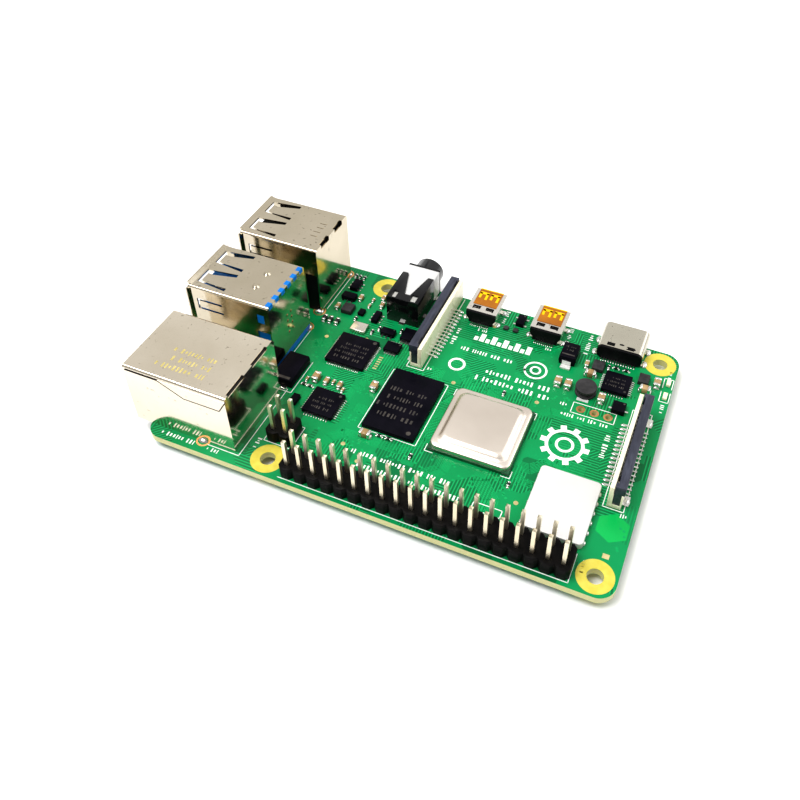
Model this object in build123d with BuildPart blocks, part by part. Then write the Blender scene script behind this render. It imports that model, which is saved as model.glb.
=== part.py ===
"""Credit-card sized single board computer, built from its separate pieces.

Places are given the way a board drawing gives them: bx runs from the display-connector end
(0) to the port end (85), by runs from the power-socket edge (0) to the pin-header edge (56),
and heights are counted from the board's top face.  The part's own frame has its origin at
the centre of the four mounting holes, on the board's underside.
"""
import os

from build123d import *

os.makedirs("parts", exist_ok=True)

# ------------------------------------------------------------------ driving dimensions (mm)
BOARD_LENGTH = 85.0
BOARD_WIDTH = 56.0
BOARD_THICKNESS = 1.4
BOARD_CORNER_RADIUS = 3.0

MOUNT_SPACING_X = 58.0
MOUNT_SPACING_Y = 49.0
MOUNT_INSET = 3.5
MOUNT_HOLE_RADIUS = 1.35

TAIL_LENGTH = 1.4
TAIL_SIDE = 0.5
TAIL_HOLE_RADIUS = 0.42
LEG_WIDTH = 1.2
LEG_SLOT_LENGTH = 2.0
LEG_SLOT_WIDTH = 0.8
SHEET = 0.3

PIN_PITCH = 2.54
PIN_SIDE = 0.64
PIN_HEIGHT = 8.5
PIN_POINT = 0.2
PIN_HOLE_RADIUS = 0.5
PIN_BLOCK_HEIGHT = 2.54
PIN_BLOCK_NOTCH = 0.6
GPIO_CENTRE = (32.5, 52.5)
GPIO_COLUMNS = 20
POE_CENTRE = (61.5, 46.6)
POE_COLUMNS = 2
JUMPER_CENTRE = (12.05, 20.5)
JUMPER_HOLES = 3

ORIGIN_X = MOUNT_INSET + MOUNT_SPACING_X / 2
ORIGIN_Y = MOUNT_INSET + MOUNT_SPACING_Y / 2


def spot(bx, by, height=0.0):
    """Point in the part's frame, from board-drawing coordinates and a height above the top."""
    return (bx - ORIGIN_X, by - ORIGIN_Y, BOARD_THICKNESS + height)


def level(bx, by, height=0.0):
    """Horizontal work plane over a board position."""
    return Plane(origin=spot(bx, by, height))


def lengthwise(bx, by, height=0.0):
    """Upright work plane: its x runs with bx, its y is height, and its normal is -by."""
    return Plane(origin=spot(bx, by, height), x_dir=(1, 0, 0), z_dir=(0, -1, 0))


def box_between(low, high, mode=Mode.ADD):
    """Box between two opposite corners, each given as (bx, by, height)."""
    middle = [(a + b) / 2 for a, b in zip(low, high)]
    size = [abs(b - a) for a, b in zip(low, high)]
    with Locations(spot(*middle)):
        Box(*size, mode=mode)


def keep(piece, label):
    """Label a finished piece and write its STEP file."""
    piece.part.label = label
    export_step(piece.part, f"parts/{label}.step")


# ------------------------------------------------------------------ port positions
ETH_REAR = 67.3
ETH_FRONT = 88.0
ETH_CENTRE = 45.75
ETH_WIDTH = 15.6
ETH_HEIGHT = 13.45
ETH_LEG_BX = 74.0
ETH_TAIL_ROWS = (70.6, 72.6)
ETH_TAIL_COUNT = 6
ETH_TAIL_PITCH = 2.04

USB_REAR = 70.7
USB_FRONT = 87.9
USB_WIDTH = 13.2
USB_HEIGHT = 15.9
USB3_CENTRE = 27.0
USB2_CENTRE = 9.0
USB_LEGS_BX = (71.4, 79.2)
USB_PORT_HEIGHTS = (4.2, 12.0)
USB_PORT_OPENING = 5.4
USB2_TAIL_ROWS = ((74.5, 4, 2.33), (77.1, 4, 2.33))
USB3_TAIL_ROWS = ((73.4, 4, 2.33), (74.9, 5, 2.0), (76.4, 4, 2.33), (77.9, 5, 2.0))


def row_offsets(count, pitch):
    """Evenly spaced offsets centred on zero."""
    return [(i - (count - 1) / 2) * pitch for i in range(count)]


# ================================================================== circuit board
eth_tail_spots = [
    (row, ETH_CENTRE + offset + side * ETH_TAIL_PITCH / 4)
    for row, side in zip(ETH_TAIL_ROWS, (-1, 1))
    for offset in row_offsets(ETH_TAIL_COUNT, ETH_TAIL_PITCH)
]
usb3_tail_spots = [
    (row, USB3_CENTRE + offset)
    for row, count, pitch in USB3_TAIL_ROWS
    for offset in row_offsets(count, pitch)
]
usb2_tail_spots = [
    (row, USB2_CENTRE + offset)
    for row, count, pitch in USB2_TAIL_ROWS
    for offset in row_offsets(count, pitch)
]
usb_leg_reach = USB_WIDTH / 2 - SHEET / 2
eth_leg_reach = ETH_WIDTH / 2 - SHEET / 2
leg_spots = [
    (bx, centre + side * usb_leg_reach)
    for centre in (USB3_CENTRE, USB2_CENTRE)
    for side in (-1, 1)
    for bx in USB_LEGS_BX
]
leg_spots += [(ETH_LEG_BX, ETH_CENTRE + side * eth_leg_reach) for side in (-1, 1)]

tail_spots = eth_tail_spots + usb3_tail_spots + usb2_tail_spots

with BuildPart() as circuit_board:
    with BuildSketch(level(BOARD_LENGTH / 2, BOARD_WIDTH / 2, -BOARD_THICKNESS)):
        RectangleRounded(BOARD_LENGTH, BOARD_WIDTH, BOARD_CORNER_RADIUS)
    extrude(amount=BOARD_THICKNESS)
    with BuildSketch(Plane.XY):
        with GridLocations(MOUNT_SPACING_X, MOUNT_SPACING_Y, 2, 2):
            Circle(MOUNT_HOLE_RADIUS)
        with Locations(spot(*GPIO_CENTRE)[:2]):
            with GridLocations(PIN_PITCH, PIN_PITCH, GPIO_COLUMNS, 2):
                Circle(PIN_HOLE_RADIUS)
        with Locations(spot(*POE_CENTRE)[:2]):
            with GridLocations(PIN_PITCH, PIN_PITCH, POE_COLUMNS, 2):
                Circle(PIN_HOLE_RADIUS)
        with Locations(spot(*JUMPER_CENTRE)[:2]):
            with GridLocations(PIN_PITCH, PIN_PITCH, JUMPER_HOLES, 1):
                Circle(PIN_HOLE_RADIUS)
        with Locations([spot(*place)[:2] for place in tail_spots]):
            Circle(TAIL_HOLE_RADIUS)
        with Locations([spot(*place)[:2] for place in leg_spots]):
            SlotOverall(LEG_SLOT_LENGTH, LEG_SLOT_WIDTH)
    extrude(amount=BOARD_THICKNESS, mode=Mode.SUBTRACT)
keep(circuit_board, "circuit_board")


# ================================================================== pin headers
def pin_header_block(centre, columns):
    """Moulded block of chamfered cells, one column of two pins per cell, with the pin holes."""
    with BuildPart() as block:
        half = PIN_PITCH / 2
        cut = half - PIN_BLOCK_NOTCH
        deep = PIN_PITCH - PIN_BLOCK_NOTCH
        cell = (
            (half, -deep), (half, deep), (cut, PIN_PITCH), (-cut, PIN_PITCH),
            (-half, deep), (-half, -deep), (-cut, -PIN_PITCH), (cut, -PIN_PITCH),
        )
        with BuildSketch(level(*centre)):
            with GridLocations(PIN_PITCH, PIN_PITCH, columns, 1):
                Polygon(*cell, align=None)
            with GridLocations(PIN_PITCH, PIN_PITCH, columns, 2):
                Rectangle(PIN_SIDE, PIN_SIDE, mode=Mode.SUBTRACT)
        extrude(amount=PIN_BLOCK_HEIGHT)
    return block


def pin_header_pins(centre, columns):
    """Square pins with pointed tips that pass right through the block and the board."""
    with BuildPart() as pins:
        with BuildSketch(level(*centre, -BOARD_THICKNESS - TAIL_LENGTH)):
            with GridLocations(PIN_PITCH, PIN_PITCH, columns, 2):
                Rectangle(PIN_SIDE, PIN_SIDE)
        extrude(amount=TAIL_LENGTH + BOARD_THICKNESS + PIN_HEIGHT)
        chamfer(pins.edges().group_by(Axis.Z)[-1], PIN_POINT)
    return pins


keep(pin_header_block(GPIO_CENTRE, GPIO_COLUMNS), "gpio_header_block")
keep(pin_header_pins(GPIO_CENTRE, GPIO_COLUMNS), "gpio_header_pins")
keep(pin_header_block(POE_CENTRE, POE_COLUMNS), "power_over_ethernet_block")
keep(pin_header_pins(POE_CENTRE, POE_COLUMNS), "power_over_ethernet_pins")


# ================================================================== ethernet socket
def tail_pins(places, side):
    """Square solder tails through the board's plated holes."""
    for bx, by in places:
        half = side / 2
        bottom = -BOARD_THICKNESS - TAIL_LENGTH
        box_between((bx - half, by - half, bottom), (bx + half, by + half, 0.0))


def shell_legs(places):
    """Sheet-metal legs of a shell, standing in the board's slots."""
    for bx, by in places:
        low = (bx - LEG_WIDTH / 2, by - SHEET / 2, -BOARD_THICKNESS - TAIL_LENGTH)
        box_between(low, (bx + LEG_WIDTH / 2, by + SHEET / 2, SHEET))


ETH_LOW = ETH_CENTRE - ETH_WIDTH / 2
ETH_HIGH = ETH_CENTRE + ETH_WIDTH / 2
ETH_EDGE_RADIUS = 0.6
ETH_MOUTH_HALF = 6.9
ETH_MOUTH_BOTTOM = 0.6
ETH_MOUTH_TOP = 12.6
ETH_FLAP = ((67.4, 0.0), (68.7, -2.5), (75.8, -2.5), (80.7, 0.0))
ETH_FLAP_THICKNESS = 0.15
ETH_REAR_SLOTS = ((-5.7, -0.9), (1.7, 6.7))
ETH_SLOT_DEPTH = 0.45

with BuildPart() as ethernet_shell:
    box_between((ETH_REAR, ETH_LOW, 0), (ETH_FRONT, ETH_HIGH, ETH_HEIGHT))
    fillet(ethernet_shell.edges().filter_by(Axis.X).group_by(Axis.Z)[-1], ETH_EDGE_RADIUS)
    box_between(
        (ETH_REAR + SHEET, ETH_LOW + SHEET, -SHEET),
        (ETH_FRONT - SHEET, ETH_HIGH - SHEET, ETH_HEIGHT - SHEET),
        mode=Mode.SUBTRACT,
    )
    box_between(
        (ETH_FRONT - 2 * SHEET, ETH_CENTRE - ETH_MOUTH_HALF, ETH_MOUTH_BOTTOM),
        (ETH_FRONT + SHEET, ETH_CENTRE + ETH_MOUTH_HALF, ETH_MOUTH_TOP),
        mode=Mode.SUBTRACT,
    )
    for low, high in ETH_REAR_SLOTS:
        box_between(
            (ETH_REAR - SHEET, ETH_CENTRE + low, ETH_HEIGHT - 2 * SHEET),
            (ETH_REAR + ETH_SLOT_DEPTH, ETH_CENTRE + high, ETH_HEIGHT + SHEET),
            mode=Mode.SUBTRACT,
        )
    for side_face, outward in ((ETH_HIGH, -1), (ETH_LOW, 1)):
        with BuildSketch(lengthwise(0, side_face, ETH_HEIGHT - ETH_EDGE_RADIUS)):
            with BuildLine():
                Polyline(*ETH_FLAP, close=True)
            make_face()
        extrude(amount=outward * ETH_FLAP_THICKNESS)
    shell_legs(leg_spots[-2:])
keep(ethernet_shell, "ethernet_shell")

JACK_HALF_WIDTH = 5.9
JACK_BOTTOM = 4.1
JACK_TOP = 11.4
JACK_DEPTH = 13.0
JACK_LATCH_HALF = 3.15
JACK_LATCH_BOTTOM = 2.4
JACK_RAIL_HALF = 1.7
JACK_RAIL_BOTTOM = 1.3
LIGHT_PIPE_WIDTH = 2.6
LIGHT_PIPE_HEIGHT = 2.0
LIGHT_PIPE_LENGTH = 10.0
LIGHT_PIPE_INSET = 0.5

inner_low = ETH_LOW + SHEET
inner_high = ETH_HIGH - SHEET
pipe_places = (
    (ETH_CENTRE - ETH_MOUTH_HALF + LIGHT_PIPE_INSET, 1),
    (ETH_CENTRE + ETH_MOUTH_HALF - LIGHT_PIPE_INSET, -1),
)
pipe_bottom = ETH_MOUTH_BOTTOM + LIGHT_PIPE_INSET

with BuildPart() as ethernet_housing:
    box_between((ETH_REAR + SHEET, inner_low, 0), (ETH_FRONT - SHEET, inner_high, ETH_HEIGHT - SHEET))
    box_between(
        (ETH_FRONT - SHEET, ETH_CENTRE - ETH_MOUTH_HALF, ETH_MOUTH_BOTTOM),
        (ETH_FRONT - SHEET / 3, ETH_CENTRE + ETH_MOUTH_HALF, ETH_MOUTH_TOP),
    )
    for half, bottom, top in (
        (JACK_HALF_WIDTH, JACK_BOTTOM, JACK_TOP),
        (JACK_LATCH_HALF, JACK_LATCH_BOTTOM, JACK_BOTTOM),
        (JACK_RAIL_HALF, JACK_RAIL_BOTTOM, JACK_LATCH_BOTTOM),
    ):
        box_between(
            (ETH_FRONT - JACK_DEPTH, ETH_CENTRE - half, bottom),
            (ETH_FRONT + SHEET, ETH_CENTRE + half, top),
            mode=Mode.SUBTRACT,
        )
    for edge, inward in pipe_places:
        box_between(
            (ETH_FRONT - LIGHT_PIPE_LENGTH, edge, pipe_bottom),
            (ETH_FRONT + SHEET, edge + inward * LIGHT_PIPE_WIDTH, pipe_bottom + LIGHT_PIPE_HEIGHT),
            mode=Mode.SUBTRACT,
        )
keep(ethernet_housing, "ethernet_housing")

JACK_WIRES = 8
JACK_WIRE_PITCH = 1.02
JACK_WIRE_WIDTH = 0.36
JACK_WIRE_THICKNESS = 0.3
JACK_WIRE_DROP = 3.6
JACK_WIRE_FRONT = 2.0
JACK_WIRE_REAR = 10.5

with BuildPart() as ethernet_contacts:
    for offset in row_offsets(JACK_WIRES, JACK_WIRE_PITCH):
        with BuildSketch(lengthwise(ETH_FRONT, ETH_CENTRE + offset + JACK_WIRE_WIDTH / 2, JACK_TOP)):
            with BuildLine():
                Polyline(
                    (-JACK_WIRE_FRONT, 0), (-JACK_WIRE_REAR, -JACK_WIRE_DROP),
                    (-JACK_WIRE_REAR + JACK_WIRE_THICKNESS, -JACK_WIRE_DROP - JACK_WIRE_THICKNESS),
                    (-JACK_WIRE_FRONT + JACK_WIRE_THICKNESS, -JACK_WIRE_THICKNESS),
                    (-JACK_WIRE_FRONT + JACK_WIRE_THICKNESS, 0),
                    close=True,
                )
            make_face()
        extrude(amount=JACK_WIRE_WIDTH)
    tail_pins(eth_tail_spots, TAIL_SIDE)
keep(ethernet_contacts, "ethernet_contacts")

with BuildPart() as ethernet_light_pipes:
    for edge, inward in pipe_places:
        box_between(
            (ETH_FRONT - LIGHT_PIPE_LENGTH, edge, pipe_bottom),
            (ETH_FRONT, edge + inward * LIGHT_PIPE_WIDTH, pipe_bottom + LIGHT_PIPE_HEIGHT),
        )
keep(ethernet_light_pipes, "ethernet_light_pipes")

# ================================================================== stacked usb sockets
USB_EDGE_RADIUS = 0.5
USB_LIP_REACH = 0.4
USB_LIP_LENGTH = 0.7
USB_TONGUE_ROOT = 80.6
USB_TONGUE_TIP = 86.4
USB_TONGUE_ROOT_WIDTH = 3.6
USB_TONGUE_TIP_WIDTH = 2.2
USB_TONGUE_SPREAD = 3.0
USB_TONGUE_DROP = 0.45
USB_TONGUE_BEND = 0.9
USB_TONGUE_GAP = 0.7
USB_CUT = 0.45
USB_SIDE_SPRING = (80.8, 86.3)
USB_SIDE_SPRING_HALF = 0.8
USB_SIDE_NOTCH_FRONT = 73.6
USB_SIDE_NOTCH_TOP = 9.5
USB_BLADE_LIFT = 1.1
USB_BLADE_THICKNESS = 1.84
USB_BLADE_HALF = 5.55
USB_BLADE_FRONT = 86.9
USB_BLOCK_FRONT = 75.5
USB_DIVIDER_LOW = USB_PORT_HEIGHTS[0] + USB_PORT_OPENING / 2
USB_DIVIDER_HIGH = USB_PORT_HEIGHTS[1] - USB_PORT_OPENING / 2
USB_CONTACT_PLACES = (-3.5, -1.0, 1.0, 3.5)
USB_CONTACT_SIZE = (7.4, 1.0, 0.2)
USB3_CONTACT_SIZE = (1.2, 0.7, 0.2)
USB3_CONTACTS = 5
USB3_CONTACT_PITCH = 2.0
USB3_TEETH = 6
USB3_TOOTH_PITCH = 2.2
USB3_TOOTH_SIZE = (0.9, 1.2)
USB3_WINDOW = ((71.8, 11.7), (73.2, 13.7))
USB3_DIMPLES_BX = 75.9
USB3_DIMPLE_SPREAD = 2.0
USB3_DIMPLE_RADIUS = 0.75
USB3_DIMPLE_HEIGHT = 0.3
USB2_REAR_SLOTS = ((-4.4, -1.2), (1.2, 4.4))
USB3_REAR_GAP = 1.3


def usb_shell(centre, legs, super_speed):
    """Folded steel box, open at the front, with contact springs cut into its top and sides."""
    low = centre - USB_WIDTH / 2
    high = centre + USB_WIDTH / 2
    with BuildPart() as shell:
        box_between((USB_REAR, low, 0), (USB_FRONT, high, USB_HEIGHT))
        fillet(shell.edges().filter_by(Axis.X).group_by(Axis.Z)[-1], USB_EDGE_RADIUS)
        box_between(
            (USB_REAR + SHEET, low + SHEET, SHEET),
            (USB_FRONT + SHEET, high - SHEET, USB_HEIGHT - SHEET),
            mode=Mode.SUBTRACT,
        )
        box_between(
            (USB_REAR - SHEET, low + SHEET, -SHEET),
            (USB_BLOCK_FRONT, high - SHEET, SHEET),
            mode=Mode.SUBTRACT,
        )
        box_between(
            (USB_REAR + SHEET, low - SHEET, SHEET),
            (USB_SIDE_NOTCH_FRONT, high + SHEET, USB_SIDE_NOTCH_TOP),
            mode=Mode.SUBTRACT,
        )
        # The strip across the mouth between the two ports.
        box_between(
            (USB_FRONT - SHEET, low + SHEET, USB_DIVIDER_LOW),
            (USB_FRONT, high - SHEET, USB_DIVIDER_HIGH),
        )
        # Flared lips around the mouth.
        lip = (
            (USB_FRONT - USB_LIP_LENGTH, 0), (USB_FRONT, USB_LIP_REACH),
            (USB_FRONT + SHEET, USB_LIP_REACH), (USB_FRONT, -SHEET),
            (USB_FRONT - USB_LIP_LENGTH, -SHEET),
        )
        with BuildSketch(lengthwise(0, high - USB_EDGE_RADIUS, USB_HEIGHT)):
            with BuildLine():
                Polyline(*lip, close=True)
            make_face()
        extrude(amount=USB_WIDTH - 2 * USB_EDGE_RADIUS)
        for face, outward in ((low, -1), (high, 1)):
            with BuildSketch(level(0, face, SHEET)):
                with BuildLine():
                    Polyline(*[(bx, outward * reach) for bx, reach in lip], close=True)
                make_face()
            extrude(amount=USB_HEIGHT - USB_EDGE_RADIUS - SHEET)
        # Two tapered spring tongues in the top.
        for side in (-1, 1):
            place = centre + side * USB_TONGUE_SPREAD
            root = USB_TONGUE_ROOT_WIDTH / 2
            tip = USB_TONGUE_TIP_WIDTH / 2
            with BuildSketch(level(0, place, USB_HEIGHT - 2 * SHEET)):
                with BuildLine():
                    Polyline(
                        (USB_TONGUE_ROOT, -root - USB_TONGUE_GAP),
                        (USB_TONGUE_TIP + USB_CUT, -tip - USB_TONGUE_GAP),
                        (USB_TONGUE_TIP + USB_CUT, tip + USB_TONGUE_GAP),
                        (USB_TONGUE_ROOT, root + USB_TONGUE_GAP),
                        close=True,
                    )
                make_face()
            extrude(amount=4 * SHEET, mode=Mode.SUBTRACT)
            with BuildSketch(level(0, place, USB_HEIGHT - 2 * USB_TONGUE_DROP)):
                with BuildLine():
                    Polyline(
                        (USB_TONGUE_ROOT - USB_CUT, -root), (USB_TONGUE_TIP, -tip),
                        (USB_TONGUE_TIP, tip), (USB_TONGUE_ROOT - USB_CUT, root),
                        close=True,
                    )
                make_face()
            tongue_prism = extrude(amount=2 * USB_TONGUE_DROP, mode=Mode.PRIVATE)
            bend = USB_TONGUE_TIP - USB_TONGUE_BEND
            with BuildSketch(lengthwise(0, place + root, USB_HEIGHT)):
                with BuildLine():
                    Polyline(
                        (USB_TONGUE_ROOT - USB_CUT, 0), (USB_TONGUE_ROOT, 0), (bend, -USB_TONGUE_DROP),
                        (USB_TONGUE_TIP, -USB_TONGUE_DROP / 2),
                        (USB_TONGUE_TIP, -USB_TONGUE_DROP / 2 - SHEET),
                        (bend, -USB_TONGUE_DROP - SHEET), (USB_TONGUE_ROOT, -SHEET),
                        (USB_TONGUE_ROOT - USB_CUT, -SHEET),
                        close=True,
                    )
                make_face()
            tongue_slab = extrude(amount=2 * root, mode=Mode.PRIVATE)
            add(tongue_prism & tongue_slab)
        # A contact spring on each side of each port, cut on three sides.
        spring_rear, spring_front = USB_SIDE_SPRING
        for port in USB_PORT_HEIGHTS:
            box_between(
                (spring_rear, low - SHEET, port - USB_SIDE_SPRING_HALF - USB_CUT),
                (spring_front, high + SHEET, port + USB_SIDE_SPRING_HALF + USB_CUT),
                mode=Mode.SUBTRACT,
            )
            for face in (low, high - SHEET):
                box_between(
                    (spring_rear, face, port - USB_SIDE_SPRING_HALF),
                    (spring_front - USB_CUT, face + SHEET, port + USB_SIDE_SPRING_HALF),
                )
        if super_speed:
            for offset in row_offsets(USB3_TEETH, USB3_TOOTH_PITCH):
                usb_tooth(centre + offset, Mode.SUBTRACT)
            usb_window(low, high, Mode.SUBTRACT)
            box_between(
                (USB_REAR - SHEET, low + SHEET, -SHEET),
                (USB_REAR + SHEET, high - SHEET, USB3_REAR_GAP),
                mode=Mode.SUBTRACT,
            )
            for side in (-1, 1):
                with Locations(spot(USB3_DIMPLES_BX, centre + side * USB3_DIMPLE_SPREAD, USB_HEIGHT)):
                    Cone(
                        USB3_DIMPLE_RADIUS, USB3_DIMPLE_RADIUS / 2, USB3_DIMPLE_HEIGHT,
                        align=(Align.CENTER, Align.CENTER, Align.MIN),
                    )
        else:
            for slot_low, slot_high in USB2_REAR_SLOTS:
                box_between(
                    (USB_REAR - SHEET, centre + slot_low, USB_HEIGHT - 3 * SHEET),
                    (USB_REAR + 2 * SHEET, centre + slot_high, USB_HEIGHT + SHEET),
                    mode=Mode.SUBTRACT,
                )
        shell_legs(legs)
    return shell


def usb_tooth(by, mode):
    """One moulding tooth that fills a notch in the rear top edge of the blue socket's shell."""
    length, width = USB3_TOOTH_SIZE
    low = (USB_REAR, by - width / 2, USB_HEIGHT - length)
    box_between(low, (USB_REAR + length, by + width / 2, USB_HEIGHT), mode=mode)


def usb_window(low, high, mode):
    """The moulding's locking square on each side of the blue socket."""
    (rear, bottom), (front, top) = USB3_WINDOW
    for face in (low, high - SHEET):
        box_between((rear, face, bottom), (front, face + SHEET, top), mode=mode)


def usb_housing(centre, super_speed):
    """Moulded block behind the ports, with one contact blade per port and the shelf between."""
    inner_half = USB_WIDTH / 2 - SHEET
    low = centre - USB_WIDTH / 2
    high = centre + USB_WIDTH / 2
    with BuildPart() as housing:
        box_between(
            (USB_REAR + SHEET, centre - inner_half, 0),
            (USB_BLOCK_FRONT, centre + inner_half, USB_HEIGHT - SHEET),
        )
        box_between(
            (USB_BLOCK_FRONT, centre - inner_half, USB_DIVIDER_LOW + SHEET),
            (USB_FRONT - SHEET, centre + inner_half, USB_DIVIDER_HIGH - SHEET),
        )
        for port in USB_PORT_HEIGHTS:
            middle = port + USB_BLADE_LIFT
            box_between(
                (USB_BLOCK_FRONT, centre - USB_BLADE_HALF, middle - USB_BLADE_THICKNESS / 2),
                (USB_BLADE_FRONT, centre + USB_BLADE_HALF, middle + USB_BLADE_THICKNESS / 2),
            )
        if super_speed:
            for offset in row_offsets(USB3_TEETH, USB3_TOOTH_PITCH):
                usb_tooth(centre + offset, Mode.ADD)
            usb_window(low, high, Mode.ADD)
            box_between(
                (USB_REAR, centre - inner_half, 0),
                (USB_REAR + SHEET, centre + inner_half, USB3_REAR_GAP),
            )
        else:
            for slot_low, slot_high in USB2_REAR_SLOTS:
                box_between(
                    (USB_REAR, centre + slot_low, USB_HEIGHT - 4 * SHEET),
                    (USB_REAR + 2 * SHEET, centre + slot_high, USB_HEIGHT),
                    mode=Mode.SUBTRACT,
                )
    return housing


def usb_contacts(centre, tails, super_speed):
    """Spring strips under each blade and the solder tails of the whole stack."""
    length, width, thickness = USB_CONTACT_SIZE
    with BuildPart() as contacts:
        for port in USB_PORT_HEIGHTS:
            under = port + USB_BLADE_LIFT - USB_BLADE_THICKNESS / 2
            for offset in USB_CONTACT_PLACES:
                box_between(
                    (USB_BLOCK_FRONT, centre + offset - width / 2, under - thickness),
                    (USB_BLOCK_FRONT + length, centre + offset + width / 2, under),
                )
            if super_speed:
                short, narrow, thin = USB3_CONTACT_SIZE
                for offset in row_offsets(USB3_CONTACTS, USB3_CONTACT_PITCH):
                    box_between(
                        (USB_BLADE_FRONT - 2 * short, centre + offset - narrow / 2, under - thin),
                        (USB_BLADE_FRONT - short, centre + offset + narrow / 2, under),
                    )
        tail_pins(tails, TAIL_SIDE)
    return contacts


for prefix, centre, legs, tails, super_speed in (
    ("usb3", USB3_CENTRE, leg_spots[0:4], usb3_tail_spots, True),
    ("usb2", USB2_CENTRE, leg_spots[4:8], usb2_tail_spots, False),
):
    keep(usb_shell(centre, legs, super_speed), f"{prefix}_shell")
    keep(usb_housing(centre, super_speed), f"{prefix}_housing")
    keep(usb_contacts(centre, tails, super_speed), f"{prefix}_contacts")

# ================================================================== audio-video jack
AV_CENTRE = 54.1
AV_HALF_WIDTH = 3.45
AV_REAR = 12.2
AV_FRONT = 0.4
AV_HEIGHT = 6.0
AV_ARM_HEIGHT = 0.35
AV_BARREL_RADIUS = 3.0
AV_BARREL_FRONT = -2.4
AV_BORE_RADIUS = 1.8
AV_BORE_AXIS = 3.0
AV_BORE_LENGTH = 12.6
AV_FLOOR = 0.5
AV_CORE_FRONT = 0.9
AV_CORE_SHOULDER = 3.9
AV_CORE_TIP = 10.2
AV_CORE_TIP_LOW = 0.9
AV_CORE_TIP_HIGH = 0.3
AV_TONGUE_THICKNESS = 0.4
AV_ARM_NOTCH_HALF = 2.2
AV_WINDOWS = ((52.1, 0.65), (56.2, 0.5))
AV_WINDOW_REAR = 12.2
AV_WINDOW_FRONT = 9.9
AV_WINDOW_DEPTH = 1.0
AV_LEADS = ((50.4, 2.6), (50.4, 8.6), (57.8, 4.6), (54.2, 12.5))
AV_LEAD_SIZE = (1.2, 1.2, 0.25)

av_low = AV_CENTRE - AV_HALF_WIDTH
av_high = AV_CENTRE + AV_HALF_WIDTH


def av_core_outline():
    """Outline of the pale core: full width at the front, narrowing to a point at the rear."""
    Polyline(
        (av_low, AV_CORE_FRONT), (av_high, AV_CORE_FRONT), (av_high, AV_CORE_SHOULDER),
        (AV_CENTRE + AV_ARM_NOTCH_HALF, AV_CORE_SHOULDER),
        (AV_CENTRE + AV_CORE_TIP_HIGH, AV_CORE_TIP),
        (AV_CENTRE - AV_CORE_TIP_LOW, AV_CORE_TIP),
        (AV_CENTRE - AV_ARM_NOTCH_HALF, AV_CORE_SHOULDER),
        (av_low, AV_CORE_SHOULDER),
        close=True,
    )


def av_bore():
    """The plug's bore, cut through whatever stands on the barrel's axis."""
    with BuildSketch(lengthwise(AV_CENTRE, AV_BARREL_FRONT, AV_BORE_AXIS)) as mouth:
        Circle(AV_BORE_RADIUS)
    extrude(mouth.sketch, amount=-AV_BORE_LENGTH, mode=Mode.SUBTRACT)


with BuildPart() as av_jack_body:
    box_between((av_low, AV_FRONT, 0), (av_high, AV_REAR, AV_HEIGHT))
    box_between((av_low, AV_CORE_SHOULDER, AV_HEIGHT), (av_high, AV_REAR, AV_HEIGHT + AV_ARM_HEIGHT))
    with BuildSketch(lengthwise(AV_CENTRE, AV_BARREL_FRONT, AV_BORE_AXIS)):
        Circle(AV_BARREL_RADIUS)
    extrude(amount=-(AV_FRONT - AV_BARREL_FRONT))
    box_between(
        (av_low, AV_CORE_FRONT, AV_FLOOR), (av_high, AV_CORE_SHOULDER, AV_HEIGHT),
        mode=Mode.SUBTRACT,
    )
    with BuildSketch(level(0, 0, AV_HEIGHT - AV_TONGUE_THICKNESS)):
        with BuildLine():
            av_core_outline()
        make_face()
    extrude(amount=AV_TONGUE_THICKNESS + 2 * AV_ARM_HEIGHT, mode=Mode.SUBTRACT)
    for bx, half in AV_WINDOWS:
        box_between(
            (bx - half, AV_WINDOW_FRONT, AV_HEIGHT - AV_WINDOW_DEPTH),
            (bx + half, AV_WINDOW_REAR - SHEET, AV_HEIGHT + 2 * AV_ARM_HEIGHT),
            mode=Mode.SUBTRACT,
        )
    av_bore()
keep(av_jack_body, "av_jack_body")

with BuildPart() as av_jack_core:
    box_between((av_low, AV_CORE_FRONT, AV_FLOOR), (av_high, AV_CORE_SHOULDER, AV_HEIGHT))
    with BuildSketch(level(0, 0, AV_HEIGHT - AV_TONGUE_THICKNESS)):
        with BuildLine():
            av_core_outline()
        make_face()
    extrude(amount=AV_TONGUE_THICKNESS)
    av_bore()
keep(av_jack_core, "av_jack_core")

with BuildPart() as av_jack_contacts:
    for bx, half in AV_WINDOWS:
        box_between(
            (bx - half, AV_WINDOW_FRONT, AV_HEIGHT - AV_WINDOW_DEPTH),
            (bx + half, AV_WINDOW_REAR - SHEET, AV_HEIGHT - AV_WINDOW_DEPTH + SHEET),
        )
    length, width, thickness = AV_LEAD_SIZE
    for bx, by in AV_LEADS:
        across = min(max(bx, av_low), av_high)
        if bx == across:
            box_between((bx - width / 2, AV_REAR, 0), (bx + width / 2, AV_REAR + length / 2, thickness))
        else:
            outer = bx - width / 4 if bx < across else bx + width / 4
            box_between((across, by - width / 2, 0), (outer, by + width / 2, thickness))
keep(av_jack_contacts, "av_jack_contacts")

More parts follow.
